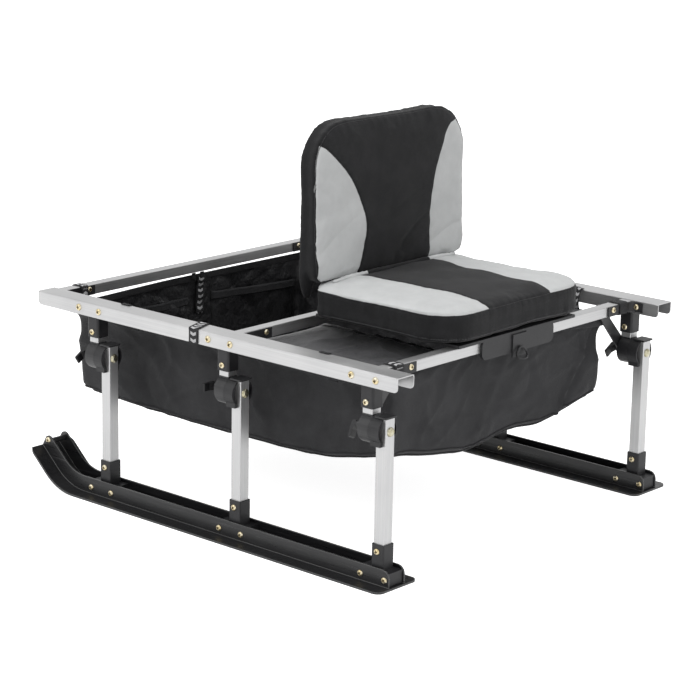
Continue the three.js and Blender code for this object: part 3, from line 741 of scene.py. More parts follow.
def add_straps():
    low, high, middle = RAILS["near"]
    half_y, half_z = (high.y - low.y) / 2, (high.z - low.z) / 2
    round_bar("near_rail_strap", Vector((-0.0425, middle.y, middle.z)), half_y, half_z, WIDE_STRAP,
              MARKED_WEBBING, lean=-0.017)
    low, high, middle = RAILS["far"]
    tail = [Vector((0.2995, low.y + 0.004, high.z + 0.0015))]
    tail += [Vector((0.2995 + 0.004 * step / 8, low.y - 0.0048 - 0.014 * math.sin(step / 8 * 2.4),
                     high.z + 0.003 - 0.006 * step)) for step in range(9)]
    strap("far_rail_strap_tail", resampled(tail, 0.002), 0.0065, ALONG, MARKED_WEBBING)
    for name, side, station, y, half_width, material in (
            ("front_near", "near", "front", -0.3455, FRONT_STRAP, MARKED_WEBBING),
            ("rear_near", "near", "rear", -0.3675, REAR_STRAP, MARKED_WEBBING),
            ("rear_far", "far", "rear", 0.3675, REAR_STRAP, WEBBING)):
        bracket = f"{side}_{station}_tube_bracket"
        ear, tube = at(bracket), TUBES[station]
        face = seated(bracket, (tube[2].x, y, tube[2].z), ALONG)[0].x
        bottom, top = min(ear[0].z, tube[0].z), max(ear[1].z, tube[1].z)
        centre = Vector(((tube[0].x + face) / 2, y, (bottom + top) / 2))
        half_x, half_z = (face - tube[0].x) / 2, (top - bottom) / 2
        round_bar(f"{name}_tube_strap", centre, half_x, half_z, half_width, material)


add_straps()

# Basket

BASKET_LOW, BASKET_HIGH, BASKET_MIDDLE = at("basket")
TUBE_UNDER = TUBES["front"][0].z
BASKET_FLOOR = BASKET_LOW.z
BASKET_WALL = TUBE_UNDER - BASKET_FLOOR
BASKET_HALF_X = (BASKET_HIGH.x - BASKET_LOW.x) / 2
BASKET_HALF_Y = 0.345
BASKET_TOP_HALF_Y = BASKET_HIGH.y
BASKET_CORNER = 0.009
WALL_ROWS, FLOOR_ROWS = 34, 44
HEM_HALF = 0.008
WELT_RADIUS = 0.0021
THREAD_PITCH = 0.0009
# Thickness of the basket's cloth, and of its pockets and flaps
BASKET_CLOTH, PANEL_CLOTH = 0.0013, 0.0011
# Height up the wall as a share, with the length and the width there as shares
LENGTH_SHARES = ((0.0, 0.94), (0.05, 0.99), (0.16, 1.0), (0.5, 1.003), (0.85, 1.0), (1.0, 0.993))
WIDTH_SHARES = ((0.0, 0.9), (0.05, 0.965), (0.16, 0.99), (0.5, 1.0), (0.8, 1.005), (0.93, 1.06),
                (1.0, BASKET_TOP_HALF_Y / BASKET_HALF_Y))


def hem_height(x, y):
    """The basket's top edge: tight under the tubes, lower along the rails."""
    if x > BASKET_MIDDLE.x:
        return TUBE_UNDER - 0.003 - 0.012 * smooth_step((abs(y) - 0.2) / 0.16)
    return TUBE_UNDER - 0.0065 - (0.005 if y < 0 else 0.001) * smooth_step((abs(y) - 0.06) / 0.28)


def floor_height(x, y):
    """The floor's height: it rises to both ends, and its rear edge hangs lowest near the middle."""
    share = x / BASKET_LOW.x if x < 0 else x / BASKET_HIGH.x
    plain = BASKET_FLOOR + (0.009 if x < 0 else 0.026) * share ** 2
    rear = smooth_step((x - 0.2) / 0.18)
    belly = 0.018 * bell(y + 0.09, 0.1) + 0.011 * bell(y - 0.14, 0.06)
    return plain + rear * (0.017 * smooth_step((abs(y) - 0.19) / 0.14) - belly)


def ridge(point, scale, sharpness):
    """Narrow crests of a noise field, from 0 to 1."""
    return (1 - abs(noise.noise(point * scale))) ** sharpness


def basket_folds(point, rise, way):
    """How far the cloth stands in or out of its plain form."""
    slanted = Vector((point.x + 0.7 * point.z, point.y + 0.7 * point.z, point.z * 0.8))
    leant = Vector((point.x - 1.1 * point.z, point.y - 1.1 * point.z, point.z * 0.6 + 3.0))
    depth = 0.007 * noise.noise(point * 5.0) + 0.0012 * noise.noise(point * 30.0)
    depth += 0.0045 * (ridge(slanted, 7.0, 9) - ridge(slanted, 4.0, 12)) + 0.0035 * ridge(leant, 9.0, 14)
    depth += 0.0022 * waver(point.x * 22, point.y * 22, point.z * 4) * smooth_step(rise * 2.5 - 1)
    depth *= 0.25 + 0.75 * smooth_step(rise / 0.16)
    if way.x > 0.7:
        # Rear wall: a sharp slanted crease, a faint one, and a hollow by the far rail
        line = (point.y - 0.18) - (point.z - 0.19) * 0.85
        depth += 0.006 * bell(line, 0.006) - 0.006 * bell(line - 0.017, 0.011)
        line = (point.y + 0.02) - (point.z - 0.3) * 0.6
        depth += 0.0025 * bell(line, 0.014)
        depth -= 0.016 * bell(point.y - 0.345, 0.05) * bell(point.z - 0.345, 0.03)
    return depth


def basket_rows():
    """Rings of points from the hem down the wall and over the floor."""
    plan = wrap_path(Vector((0, 0, 0)), BASKET_HALF_X, BASKET_HALF_Y, ALONG, ACROSS, BASKET_CORNER, 8)
    plan = resampled(plan, 0.0075, closed=True)
    steps = 200
    section = [(smooth_value(WIDTH_SHARES, step / steps) * BASKET_HALF_Y, step / steps * BASKET_WALL)
               for step in range(steps + 1)]
    lengths = [0.0]
    for first, second in zip(section, section[1:]):
        lengths.append(lengths[-1] + math.dist(first, second))
    levels = []
    for row in range(WALL_ROWS + 1):
        goal = lengths[-1] * (1 - row / WALL_ROWS)
        levels.append((min(range(steps + 1), key=lambda step: abs(lengths[step] - goal)) / steps, 1.0))
    levels += [(0.0, 1 - step / FLOOR_ROWS) for step in range(1, FLOOR_ROWS)]
    rows = []
    for rise, spread in levels:
        along = smooth_value(LENGTH_SHARES, rise) * spread
        across = smooth_value(WIDTH_SHARES, rise) * spread
        edge = smooth_step((1 - rise) / 0.08)
        row = []
        for spot in plan:
            x, y = BASKET_MIDDLE.x + spot.x * along, spot.y * across
            low = floor_height(x, y)
            point = Vector((x, y, low + (hem_height(x, y) - low) * rise))
            way = Vector((spot.x / BASKET_HALF_X, spot.y / BASKET_HALF_Y, 0))
            way = Vector((way.x ** 7, way.y ** 7, -2.2 * max(0.0, 0.12 - rise) / 0.12)).normalized()
            depth = basket_folds(point, rise, way) * edge * min(1.0, spread * 1.4)
            row.append(point + way * depth)
        rows.append(row)
    return rows


BASKET_ROWS = basket_rows()
# Rings of points with the sewn edge over the floor and the welt under it
SEAM_ROW, WELT_ROW = 30, 32


def shell(name, rows, materials, thickness, wrapped):
    """Sheet over rows of points, thick enough to show an inner and an outer face."""
    width = len(rows[0])
    faces = grid_faces(len(rows), width, wrapped)
    if wrapped:
        faces.append(tuple((len(rows) - 1) * width + place for place in range(width)))
    piece = mesh_object(name, [point for row in rows for point in row], faces, materials)
    solid = piece.modifiers.new("thickness", "SOLIDIFY")
    solid.thickness = thickness
    solid.offset = -1
    solid.material_offset = len(materials) - 1
    return settled(piece)


def settled(piece):
    """The piece with its modifiers applied."""
    bpy.context.view_layer.update()
    shaped = piece.evaluated_get(bpy.context.evaluated_depsgraph_get())
    piece.data = bpy.data.meshes.new_from_object(shaped)
    piece.modifiers.clear()
    piece.data.shade_smooth()
    return piece


def folded_up(piece):
    """Gives the piece a mesh of its own."""
    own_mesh(piece)
    return piece


def with_basket(piece):
    """Cloth that rides with the frame, with a mesh of its own."""
    return folded_up(place_piece(piece, "frame"))


def add_basket():
    outside = cloth("basket_cloth", (0.026, 0.026, 0.0275), (0.06, 0.06, 0.063), THREAD_PITCH,
                    roughness=0.62, sheen=0.03, crumple=0.007, gloss=0.12, scale=8.0)
    inside = coated_cloth()
    rows = [row[::-1] for row in BASKET_ROWS]
    basket = with_basket(shell("basket_bag", rows, [outside, inside], BASKET_CLOTH, True))
    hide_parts("basket")
    middle = Vector((BASKET_MIDDLE.x, 0, 0))
    seam = [point + ((point - middle) * Vector((1, 1, 0))).normalized() * 0.0012
            for point in BASKET_ROWS[SEAM_ROW]]
    with_basket(cord("basket_seam", resampled(seam, 0.004, closed=True), 0.0019, outside, True))
    top = BASKET_ROWS[0]
    hem = [point + Vector((0, 0, 0.0002 - HEM_HALF)) for point in top]
    with_basket(swept_piece("basket_hem", hem, HEM_HALF, 0.0019, UP, outside, closed=True, corners=10,
                            power=3.5))
    for drop in (0.0125, 0.0155):
        line = [point + inward(point) * 0.0022 + Vector((0, 0, above.z - point.z - drop))
                for point, above in zip(BASKET_ROWS[2], top)]
        with_basket(stitching(f"basket_hem_stitch_{int(drop * 10000)}", line, True))
    welt = [point + inward(point) * -0.0012 + Vector((0, 0, -0.0008)) for point in BASKET_ROWS[WELT_ROW]]
    with_basket(swept_piece("basket_welt", welt, WELT_RADIUS, WELT_RADIUS, UP, outside, closed=True))
    return outside, inside


def inward(point):
    """The level way from a wall to the inside of the basket."""
    share_x = (point.x - BASKET_MIDDLE.x) / BASKET_HALF_X
    share_y = point.y / BASKET_HALF_Y
    return -Vector((share_x ** 7, share_y ** 7, 0)).normalized()


BASKET_OUTSIDE, BASKET_INSIDE = add_basket()


def wall_tree():
    """Search tree over the basket's cloth."""
    points = [point for row in BASKET_ROWS for point in row]
    return BVHTree.FromPolygons(points, grid_faces(len(BASKET_ROWS), len(BASKET_ROWS[0]), True))


WALLS = wall_tree()


def on_front_wall(y, z, off):
    """A point that stands off the inner face of the front wall."""
    hit = WALLS.ray_cast(Vector((BASKET_LOW.x + 0.2, y, z)), -ALONG)[0]
    return Vector((hit.x + BASKET_CLOTH + off, y, z))


def pocket(name, y0, y1, top0, top1, bottom):
    """Patch pocket on the front wall: a slack panel with a double-stitched hem."""
    rows, columns = 26, max(12, round((y1 - y0) / 0.007))
    gap, hem_half = 0.0013, 0.0095
    grid = []
    for row in range(rows + 1):
        line = []
        for column in range(columns + 1):
            share, drop = column / columns, row / rows
            y = y0 + (y1 - y0) * share
            z = (top0 + (top1 - top0) * share) * (1 - drop) + bottom * drop
            slack = 0.008 * math.sin(math.pi * share) ** 1.2 * (1 - drop) ** 0.7
            slack += 0.003 * waver(y * 22, z * 22, 4.0) * math.sin(math.pi * share)
            line.append(on_front_wall(y, z, gap + max(slack, 0)))
        grid.append(line)
    panel = with_basket(shell(name, [line[::-1] for line in grid], [BASKET_INSIDE], PANEL_CLOTH, False))
    hem = [point + Vector((0.0006, 0, -0.008)) for point in grid[0]]
    edging = swept_piece(f"{name}_hem", hem, hem_half, PANEL_CLOTH, UP, BASKET_OUTSIDE, power=4.0)
    trims = [with_basket(edging)]
    for drop in (0.003, 0.0145):
        line = [point + Vector((0.0018, 0, -drop)) for point in grid[0]]
        trims.append(with_basket(stitching(f"{name}_stitch_{int(drop * 10000)}", line, False)))


def add_front_wall_trim():
    pocket("near_pocket", y0=-0.315, y1=-0.022, top0=0.343, top1=0.338, bottom=0.205)
    pocket("far_pocket", y0=0.054, y1=0.33, top0=0.339, top1=0.326, bottom=0.2)
    line = [on_front_wall(0.016, TUBE_UNDER - 0.009 - 0.003 * step, 0.0026 + 0.0012 * math.sin(step * 0.5))
            for step in range(31)]
    folded_up(strap("front_wall_strap", resampled(line, 0.003), WIDE_STRAP, ACROSS, MARKED_WEBBING))
    for count, y in enumerate((-0.008, 0.017)):
        wall = on_front_wall(y, TUBE_UNDER - 0.016, 0.0046)
        tab = [wall, wall + UP * 0.008, Vector((wall.x, y, TUBE_UNDER - 0.0016))]
        folded_up(strap(f"front_wall_tab_{count}", resampled(tab, 0.002), 0.006, ACROSS, WEBBING))


add_front_wall_trim()


def add_hangers():
    """Straps that carry the hem from the rails' inner edges."""
    for side, sign in SIDES.items():
        inner = abs(RAILS[side][0].y if sign > 0 else RAILS[side][1].y)
        beside = [point for point in BASKET_ROWS[0] if point.y * sign > 0.3]
        for station, x in (("front", -0.276), ("rear", 0.281)):
            hem = min(beside, key=lambda point: abs(point.x - x))
            outer = abs(hem.y)
            rise = [(outer - 0.0034, hem.z - 0.02), (outer - 0.0032, hem.z - 0.002),
                    (outer + 0.004, hem.z + 0.006), (inner - 0.0022, hem.z + 0.016),
                    (inner - 0.0018, DECK_TOP - 0.006), (inner - 0.001, DECK_TOP - 0.0005),
                    (inner + 0.0015, DECK_TOP + 0.0013), (inner + 0.009, DECK_TOP + 0.0014)]
            path = resampled([Vector((x, sign * y, z)) for y, z in rise], 0.002)
            strap(f"{side}_{station}_hanger", path, 0.0125, ALONG, WEBBING)


add_hangers()


def add_flaps():
    """Cloth flaps over the rear half of the basket, along each rail, in cloth painted paler as painted
    sheen.
    """
    # Paler than the basket's cloth: painted sheen standing in for the flaps' glossy grazing reflection.
    cover_painted_sheen = cloth("cover_cloth", (0.055, 0.055, 0.058), (0.12, 0.12, 0.126), THREAD_PITCH,
                  roughness=0.4, sheen=0.03, crumple=0.009, gloss=0.5, scale=17.0)
    x0, x1 = TUBES["middle"][0].x + 0.002, TUBES["rear"][1].x - 0.03
    outer, inner = 0.379, 0.13
    columns, rows = 54, 30
    for side, sign in SIDES.items():
        grid = []
        for column in range(columns + 1):
            share = column / columns
            arch = math.sin(math.pi * share)
            edge = inner + 0.006 * waver(share * 5, sign * 3.0, 0)
            line = []
            for row in range(rows + 1):
                reach = row / rows
                x, y = x0 + (x1 - x0) * share, sign * (outer + (edge - outer) * reach)
                sag = 0.0035 * arch * (0.3 + 0.7 * reach)
                crumple = 0.0044 * waver(x * 14, y * 9, sign * 5.0)
                crumple += 0.006 * ridge(Vector((x * 0.8 + y, y - x, 2.0 * sign)), 9.0, 10) * arch
                z = TUBE_UNDER - 0.0085 - 0.004 * (1 - reach) - sag + crumple * 0.8
                line.append(Vector((x, y, z)))
            grid.append(line if sign > 0 else line[::-1])
        flap = with_basket(shell(f"{side}_flap", grid, [cover_painted_sheen], PANEL_CLOTH, False))
        edge = [line[-1] if sign > 0 else line[0] for line in grid]
        hem = swept_piece(f"{side}_flap_hem", edge, 0.0075, 0.0017, ACROSS, BASKET_INSIDE, power=3.0)
        with_basket(hem)


add_flaps()

# Seat

PAD_VOXEL = 0.0055
PAD_PRESSURE = 4.0
PAD_FRAMES = 20
# How far a pad is drawn in before it is blown up, and how far it may then move
PAD_INSET, PAD_RISE = 0.0035, 0.006
SEAM_RADIUS = 0.0008
# Clearance outside a pad from which lines are cast at it
CAST = 0.1
# Places along the pad with the distance of the panel seam from the middle line there
CUSHION_SEAM = {"near": ((0.05, 0.105), (0.15, 0.115), (0.19, 0.113), (0.326, 0.110), (0.42, 0.104),
                         (0.47, 0.100)),
                "far": ((0.05, 0.12), (0.141, 0.113), (0.213, 0.093), (0.343, 0.088), (0.47, 0.105))}
BACK_SEAM = {"near": ((0.5, 0.107), (0.592, 0.09), (0.635, 0.097), (0.702, 0.13), (0.748, 0.174),
                      (0.785, 0.225), (0.79, 0.26), (0.84, 0.27)),
             "far": ((0.5, 0.117), (0.606, 0.118), (0.69, 0.134), (0.74, 0.158), (0.787, 0.195),
                     (0.8, 0.255), (0.84, 0.27))}
# Places along the cushion with the height of the seam round its top there
BAND_SEAM = ((0.05, 0.488), (0.12, 0.4865), (0.2, 0.483), (0.3, 0.485), (0.4, 0.4855), (0.47, 0.4855))
CUSHION_LOW, CUSHION_HIGH, CUSHION_MIDDLE = at("seat_cushion")
BACK_LOW, BACK_HIGH, BACK_MIDDLE = at("seat_back")


def copy_of(name, node, inset):
    """A copy of a CAD solid, drawn in on every side."""
    low, high, middle = at(node)
    size = high - low
    shares = Vector([(size[axis] - 2 * inset) / size[axis] for axis in range(3)])
    points, faces = solid_of(node)
    return mesh_object(name, [middle + (point - middle) * shares for point in points], faces, [])


def swollen(piece, cap):
    """Remeshes a closed form and blows it up as stuffed cloth, each point's move capped."""
    remesh = piece.modifiers.new("remesh", "REMESH")
    remesh.mode = "VOXEL"
    remesh.voxel_size = PAD_VOXEL
    settled(piece)
    smooth = piece.modifiers.new("smooth", "SMOOTH")
    smooth.iterations = 6
    smooth.factor = 0.5
    settled(piece)
    scene = bpy.context.scene
    rest = [vertex.co.copy() for vertex in piece.data.vertices]
    puff = piece.modifiers.new("puff", "CLOTH")
    puff.settings.quality = 5
    puff.settings.use_pressure = True
    puff.settings.uniform_pressure_force = PAD_PRESSURE
    puff.settings.effector_weights.gravity = 0
    for frame_number in range(1, PAD_FRAMES + 1):
        scene.frame_set(frame_number)
    shaped = piece.evaluated_get(bpy.context.evaluated_depsgraph_get())
    moved = [vertex.co.copy() for vertex in shaped.data.vertices]
    piece.modifiers.clear()
    scene.frame_set(1)
    for vertex, start, end in zip(piece.data.vertices, rest, moved):
        step = end - start
        vertex.co = start + step * min(1.0, cap / max(step.length, 1e-9))
    return piece


def fitted(piece, low, high):
    """Stretches the piece to fill a box."""
    for axis in range(3):
        places = [vertex.co[axis] for vertex in piece.data.vertices]
        start, end = min(places), max(places)
        for vertex, place in zip(piece.data.vertices, places):
            vertex.co[axis] = low[axis] + (place - start) * (high[axis] - low[axis]) / (end - start)
    return piece


def smoothed(path, closed, rounds=6):
    """The path with its kinks evened out."""
    for _ in range(rounds):
        count = len(path)
        path = [point if not closed and place in (0, count - 1)
                else (path[place - 1] + point * 2 + path[(place + 1) % count]) / 4
                for place, point in enumerate(path)]
    return path


def finer(piece):
    fine = piece.modifiers.new("fine", "SUBSURF")
    fine.levels = 1
    fine.render_levels = 1
    return settled(piece)


def tree_of(piece):
    return BVHTree.FromPolygons([vertex.co for vertex in piece.data.vertices],
                                [tuple(face.vertices) for face in piece.data.polygons])


def seam_hits(tree, rays):
    """Where lines, each a start and a way, meet the pad."""
    hits = [tree.ray_cast(start, way)[0] for start, way in rays]
    return [hit for hit in hits if hit is not None]


def sewn(piece, paths, depth, width, gather):
    """Draws the pad in along its seams, with small gathers beside them."""
    normals = [vertex.normal.copy() for vertex in piece.data.vertices]
    for path_number, path in enumerate(paths):
        tree = KDTree(len(path))
        lengths = [0.0]
        for number, point in enumerate(path):
            tree.insert(point, number)
            if number:
                lengths.append(lengths[-1] + (point - path[number - 1]).length)
        tree.balance()
        for vertex, normal in zip(piece.data.vertices, normals):
            _, number, far = tree.find(vertex.co)
            if far > 0.045:
                continue
            place = lengths[number]
            wave = waver(place * 70, path_number * 9.0, 0) * math.exp(-far / 0.014)
            wave += 0.7 * waver(place * 28, path_number * 5.0, far * 12) * math.exp(-far / 0.024)
            vertex.co += normal * (gather * wave - depth * bell(far, width))
    return piece


def panelled(name, mask):
    """Seat cloth: black, with pale grey where the mask says so."""
    def paint(nodes, tint, share):
        # The grey also follows the crest share: painted shading, lighter on the crests.
        pale = nodes.mix(share, (0.57, 0.58, 0.58), (0.67, 0.68, 0.68))
        return nodes.mix(mask(nodes), tint, pale)
    return cloth(name, (0.0065, 0.0065, 0.0072), (0.0175, 0.0175, 0.019), 0.0011, roughness=0.85, sheen=0.09,
                 crumple=0.0009, paint=paint, gloss=0.25)


def beyond(nodes, value, limit, soft=0.0006):
    """1 where the value is past the limit, with a narrow soft edge."""
    return nodes.math("MULTIPLY_ADD", nodes.minus(value, limit), 1 / soft, 0.5, clamp=True)


def past_seam(nodes, along, y, seams):
    near = beyond(nodes, nodes.times(y, -1.0), nodes.table(along, seams["near"]))
    far = beyond(nodes, y, nodes.table(along, seams["far"]))
    return nodes.math("MAXIMUM", near, far)


def band_height(spot):
    """Height of the cushion's top edge seam."""
    return smooth_value(BAND_SEAM, spot.x)


def hem_level(spot):
    """Height of the cushion's bottom seam, which lifts a little near its middle."""
    return CUSHION_LOW.z + 0.0125 + 0.003 * bell(spot.y - 0.03, 0.03)


def cushion_mask(nodes):
    x, y, z = nodes.parts(nodes.place())
    top = beyond(nodes, z, nodes.table(x, BAND_SEAM))
    return nodes.times(past_seam(nodes, x, y, CUSHION_SEAM), top)


def around(height, count=260):
    """Lines from places far outside the cushion level back to its middle, at the height given there."""
    half = (CUSHION_HIGH - CUSHION_LOW) / 2
    rays = []
    for step in range(count):
        turn = 2 * math.pi * step / count
        cosine, sine = math.cos(turn), math.sin(turn)
        spread = 1.0 / max(abs(cosine), abs(sine))
        way = Vector((half.x * cosine * spread, half.y * sine * spread, 0))
        goal, start = (Vector((CUSHION_MIDDLE.x, CUSHION_MIDDLE.y, 0)) + way * far for far in (0.72, 1.6))
        rays.append((Vector((start.x, start.y, height(goal))), (goal - start).normalized()))
    return rays


def add_seams(pad, label, body, lines):
    """Cords along a pad's seams. lines gives each one's name, points, whether it closes, and radius."""
    tree = tree_of(pad)
    cords = []
    for name, line, closed, radius in lines:
        path = smoothed([tree.find_nearest(point)[0] for point in line], closed)
        piece = cord(f"{label}_{name}_seam", resampled(path, 0.003, closed), radius, STITCHES, closed)
        cords.append(place_piece(piece, body))
    return cords


def add_cushion():
    low, high = CUSHION_LOW, CUSHION_HIGH
    pad = copy_of("seat_cushion_pad", "seat_cushion", PAD_INSET)
    pad = finer(fitted(swollen(pad, PAD_RISE), low, high))
    for vertex in pad.data.vertices:
        point = vertex.co
        rise = (point.z - CUSHION_MIDDLE.z) / (high.z - CUSHION_MIDDLE.z)
        if rise > 0:
            # Full shoulders, with the rear edge drawn forward
            point.z = CUSHION_MIDDLE.z + (high.z - CUSHION_MIDDLE.z) * rise ** 0.6
            behind = smooth_step((point.x - CUSHION_MIDDLE.x) / (high.x - CUSHION_MIDDLE.x))
            point.x -= 0.009 * smooth_step(rise / 0.55) * behind
        # The near front corner is drawn back
        corner = smooth_step((low.x + 0.06 - point.x) / 0.06) * smooth_step((-point.y - 0.16) / 0.07)
        point.x += 0.024 * corner
        height = (point.z - low.z) / (high.z - low.z)
        # The top sags along both sides, and is a little uneven
        side = smooth_step((abs(point.y) - 0.12) / 0.11)
        point.z -= 0.0045 * side * bell(point.x - 0.2, 0.12) * smooth_step((height - 0.5) / 0.4)
        point.z += 0.003 * waver(point.x * 16, point.y * 12, 2.0) * smooth_step((height - 0.75) / 0.2)
        if height < 0.35:
            # The rear bottom edge lifts near its middle
            edge = smooth_step((point.x - high.x + 0.06) / 0.06)
            wave = 0.004 * bell(point.y - 0.03, 0.03) * edge
            point.z += wave * smooth_step(1 - height / 0.35)
        point.z = max(point.z, low.z + 0.0004)
    tree = tree_of(pad)
    seams = []
    for side, sign in SIDES.items():
        places = [low.x + 0.006 + (high.x - low.x - 0.016) * step / 150 for step in range(151)]
        starts = [Vector((x, sign * smooth_value(CUSHION_SEAM[side], x), high.z + CAST)) for x in places]
        seams.append(seam_hits(tree, [(start, -UP) for start in starts]))
    band, hem = (seam_hits(tree, around(height)) for height in (band_height, hem_level))
    sewn(pad, [band, hem], depth=0.0018, width=0.0035, gather=0.0016)
    sewn(pad, seams, depth=0.0012, width=0.003, gather=0.0007)
    pad.data.materials.append(panelled("cushion_cloth", cushion_mask))
    place_piece(pad, "seat")
    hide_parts("seat_cushion")
    add_seams(pad, "cushion", "seat", [("near_panel", seams[0], False, SEAM_RADIUS),
                                       ("far_panel", seams[1], False, SEAM_RADIUS),
                                       ("band", band, True, SEAM_RADIUS), ("hem", hem, True, 0.0018)])


def pressed(piece):
    """Gives the piece a mesh of its own."""
    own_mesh(piece)
    return piece


# The back's outline from in front: its middle, half sizes and corner radii at the foot and the head
BACK_SPREAD = (BACK_LOW + Vector((0, 0.0055, 0)), BACK_HIGH + Vector((0, 0.0065, 0)))
BACK_CENTRE = (BACK_SPREAD[0] + BACK_SPREAD[1]) / 2
BACK_HALF = (BACK_SPREAD[1] - BACK_SPREAD[0]) / 2
BACK_RADII = (0.03, 0.095)
EDGE_INSET = 0.0045


def back_outline(inset):
    """Points round the back, seen from in front, drawn in from its edge."""
    path = []
    for quarter, (side, level) in enumerate(((1, 1), (-1, 1), (-1, -1), (1, -1))):
        radius = BACK_RADII[(level + 1) // 2]
        for step in range(13):
            turn = math.pi / 2 * (quarter + step / 12)
            y = side * (BACK_HALF.y - radius) + (radius - inset) * math.cos(turn)
            z = level * (BACK_HALF.z - radius) + (radius - inset) * math.sin(turn)
            path.append(Vector((0, BACK_CENTRE.y + y, BACK_CENTRE.z + z)))
    return resampled(path, 0.004, True)


def inside_back(nodes, y, z):
    """How far a place lies inside the back's outline."""
    rise = nodes.minus(z, BACK_CENTRE.z)
    head = nodes.math("GREATER_THAN", rise, 0.0)
    radius = nodes.math("MULTIPLY_ADD", head, BACK_RADII[1] - BACK_RADII[0], BACK_RADII[0])
    past_y = nodes.plus(nodes.minus(nodes.size_of(nodes.minus(y, BACK_CENTRE.y)), BACK_HALF.y), radius)
    past_z = nodes.plus(nodes.minus(nodes.size_of(rise), BACK_HALF.z), radius)
    squares = [nodes.math("POWER", nodes.math("MAXIMUM", past, 0.0), 2.0) for past in (past_y, past_z)]
    corner = nodes.math("SQRT", nodes.plus(*squares))
    side = nodes.math("MINIMUM", nodes.math("MAXIMUM", past_y, past_z), 0.0)
    return nodes.minus(nodes.minus(radius, corner), side)


def back_mask(nodes):
    _, y, z = nodes.parts(nodes.place())
    forward = nodes.math("GREATER_THAN", nodes.parts(nodes.facing())[0], 0.62)
    face = nodes.times(beyond(nodes, inside_back(nodes, y, z), EDGE_INSET), forward)
    inset = nodes.span(z, BACK_LOW.z, BACK_MIDDLE.z, 0.016, 0.008)
    face = nodes.times(face, beyond(nodes, nodes.plus(y, BACK_HALF.y), inset))
    return nodes.times(past_seam(nodes, z, y, BACK_SEAM), face)


def add_back():
    low, high = BACK_LOW, BACK_HIGH
    pad = copy_of("seat_back_pad", "seat_back", PAD_INSET)
    pad = finer(fitted(swollen(pad, PAD_RISE), *BACK_SPREAD))
    for vertex in pad.data.vertices:
        point = vertex.co
        share = (point.z - low.z) / (high.z - low.z)
        front = min(max((point.x - low.x) / (high.x - low.x), 0), 1)
        # The front leans back towards the head, and the whole is a little uneven
        point.x += (0.004 - 0.014 * share) * front + 0.0035 * waver(4.0, point.y * 8, point.z * 9)
        # Creases in the lower half of the front
        crumple = ridge(Vector((point.z - point.y * 0.6, (point.y + point.z) * 0.22, 1.0)), 13.0, 9)
        point.x -= 0.0034 * crumple * front * smooth_step((0.6 - share) / 0.5)
        # The foot hangs down behind, most at the near corner
        near = smooth_step((-point.y - 0.18) / 0.03)
        drop = smooth_step((0.14 - share) / 0.14) * smooth_step((0.27 + 0.2 * near - front) / 0.2)
        point.z -= drop * (0.018 + 0.012 * near + 0.01 * smooth_step((abs(point.y) - 0.1) / 0.1)
                           + 0.004 * waver(point.y * 18, 2.0, 5.0))
    tree = tree_of(pad)
    ahead, behind = high.x + CAST, low.x - CAST
    seam_foot, seam_head = low.z + 0.012, 0.79
    seams = []
    for side, sign in SIDES.items():
        places = [seam_foot + (seam_head - seam_foot) * step / 130 for step in range(131)]
        starts = [Vector((ahead, sign * smooth_value(BACK_SEAM[side], z), z)) for z in places]
        rays = [(start, -ALONG) for start in starts if abs(start.y) < BACK_HALF.y - 0.012]
        seams.append(seam_hits(tree, rays))
    outline = back_outline(EDGE_INSET)
    edge = seam_hits(tree, [(point + ALONG * ahead, -ALONG) for point in outline])
    rear = seam_hits(tree, [(point + ALONG * behind, ALONG) for point in outline])
    sewn(pad, [edge, rear], depth=0.0016, width=0.003, gather=0.0015)
    sewn(pad, seams, depth=0.0013, width=0.003, gather=0.001)
    pad.data.materials.append(panelled("back_cloth", back_mask))
    pressed(place_piece(pad, "seat_back_unit"))
    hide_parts("seat_back")
    lines = [("near_panel", seams[0], False, SEAM_RADIUS), ("far_panel", seams[1], False, SEAM_RADIUS),
             ("edge", edge, True, SEAM_RADIUS), ("rear_edge", rear, True, SEAM_RADIUS)]
    for piece in add_seams(pad, "back", "seat_back_unit", lines):
        pressed(piece)


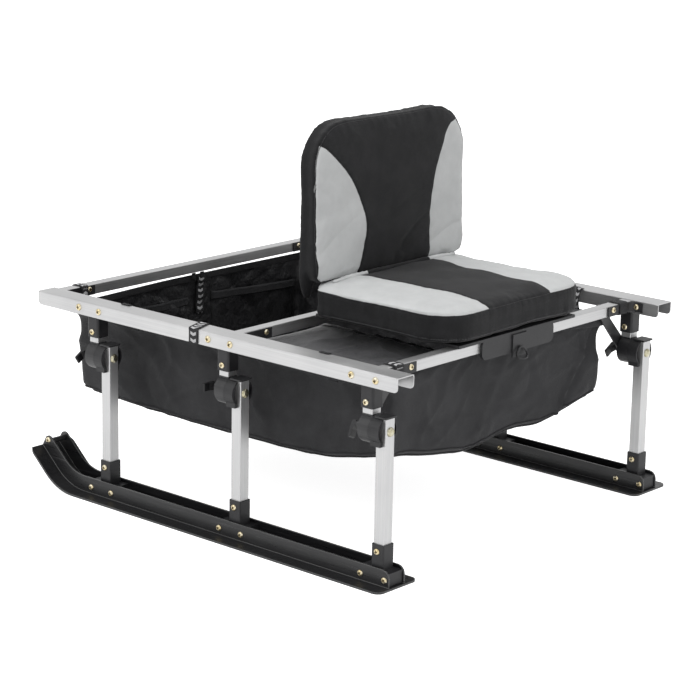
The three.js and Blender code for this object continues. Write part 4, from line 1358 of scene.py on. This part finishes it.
def add_crease():
    """The rolled hem in the crease, black in its middle and pale at its twisted ends."""
    low, high, middle = at("seat_crease_roll")
    half = (high.y - low.y) / 2 + 0.03
    radius, corners, steps = 0.0048, 14, 120
    path = []
    for step in range(steps + 1):
        y = -half + 2 * half * step / steps
        bend = smooth_step((abs(y) - 0.11) / 0.08)
        path.append(Vector((middle.x + 0.005 + 0.0015 * waver(y * 20, 0, 0), y,
                            middle.z + 0.002 + 0.0012 * waver(y * 24, 3, 0) - 0.002 * bend)))
    points, faces, _ = sweep(path, radius, radius, UP, False, corners)
    for number, point in enumerate(points):
        centre = path[min(number // corners, steps)]
        twist = number % corners / corners * 2 * math.pi + centre.y * 130
        share = 1 - 0.45 * smooth_step((abs(centre.y) - 0.16) / 0.04)
        points[number] = centre + (point - centre) * share * (1 + 0.14 * math.sin(3 * twist))

    def mask(nodes):
        y = nodes.parts(nodes.place())[1]
        return beyond(nodes, nodes.size_of(nodes.minus(y, 0.007)), 0.099)
    roll = mesh_object("seat_crease_hem", points, faces, [panelled("crease_cloth", mask)])
    place_piece(roll, "seat_back_unit")
    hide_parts("seat_crease_roll")


def add_hook_ring():
    """The ring in the strap hook, and the two slits beside it in the plate."""
    low, high, middle = at("seat_strap_hook")
    path = [Vector((high.x + 0.0026 + out, middle.y + y, low.z + z)) for out, y, z in (
        (0.0, 0.0, 0.024), (0.003, -0.021, 0.004), (0.015, 0.0, -0.004), (0.003, 0.021, 0.004))]
    steps, reach = 6, 0.42
    rounded = []
    for place, point in enumerate(path):
        before, after = path[place - 1], path[(place + 1) % len(path)]
        for step in range(steps + 1):
            share = step / steps
            first = point.lerp(before, reach * (1 - share))
            rounded.append(first.lerp(point.lerp(after, reach * share), share))
    ring = swept_piece("seat_strap_ring", resampled(rounded, 0.0012, True), 0.0026, 0.0022,
                       Vector((1, 0, 0.4)), LEVER_PLASTIC, closed=True, corners=10)
    place_piece(ring, "seat")
    plate = at("seat_base")[1].x
    for side, y in (("near", low.y - 0.0012), ("far", high.y + 0.0012)):
        slit = [Vector((plate + 0.0003, y, DECK_TOP - 0.032 + 0.001 * step)) for step in range(32)]
        groove = swept_piece(f"{side}_plate_slit", slit, 0.0009, 0.0003, ACROSS, LEVER_PLASTIC)
        place_piece(groove, "seat")


add_cushion()
add_back()
add_crease()
add_hook_ring()
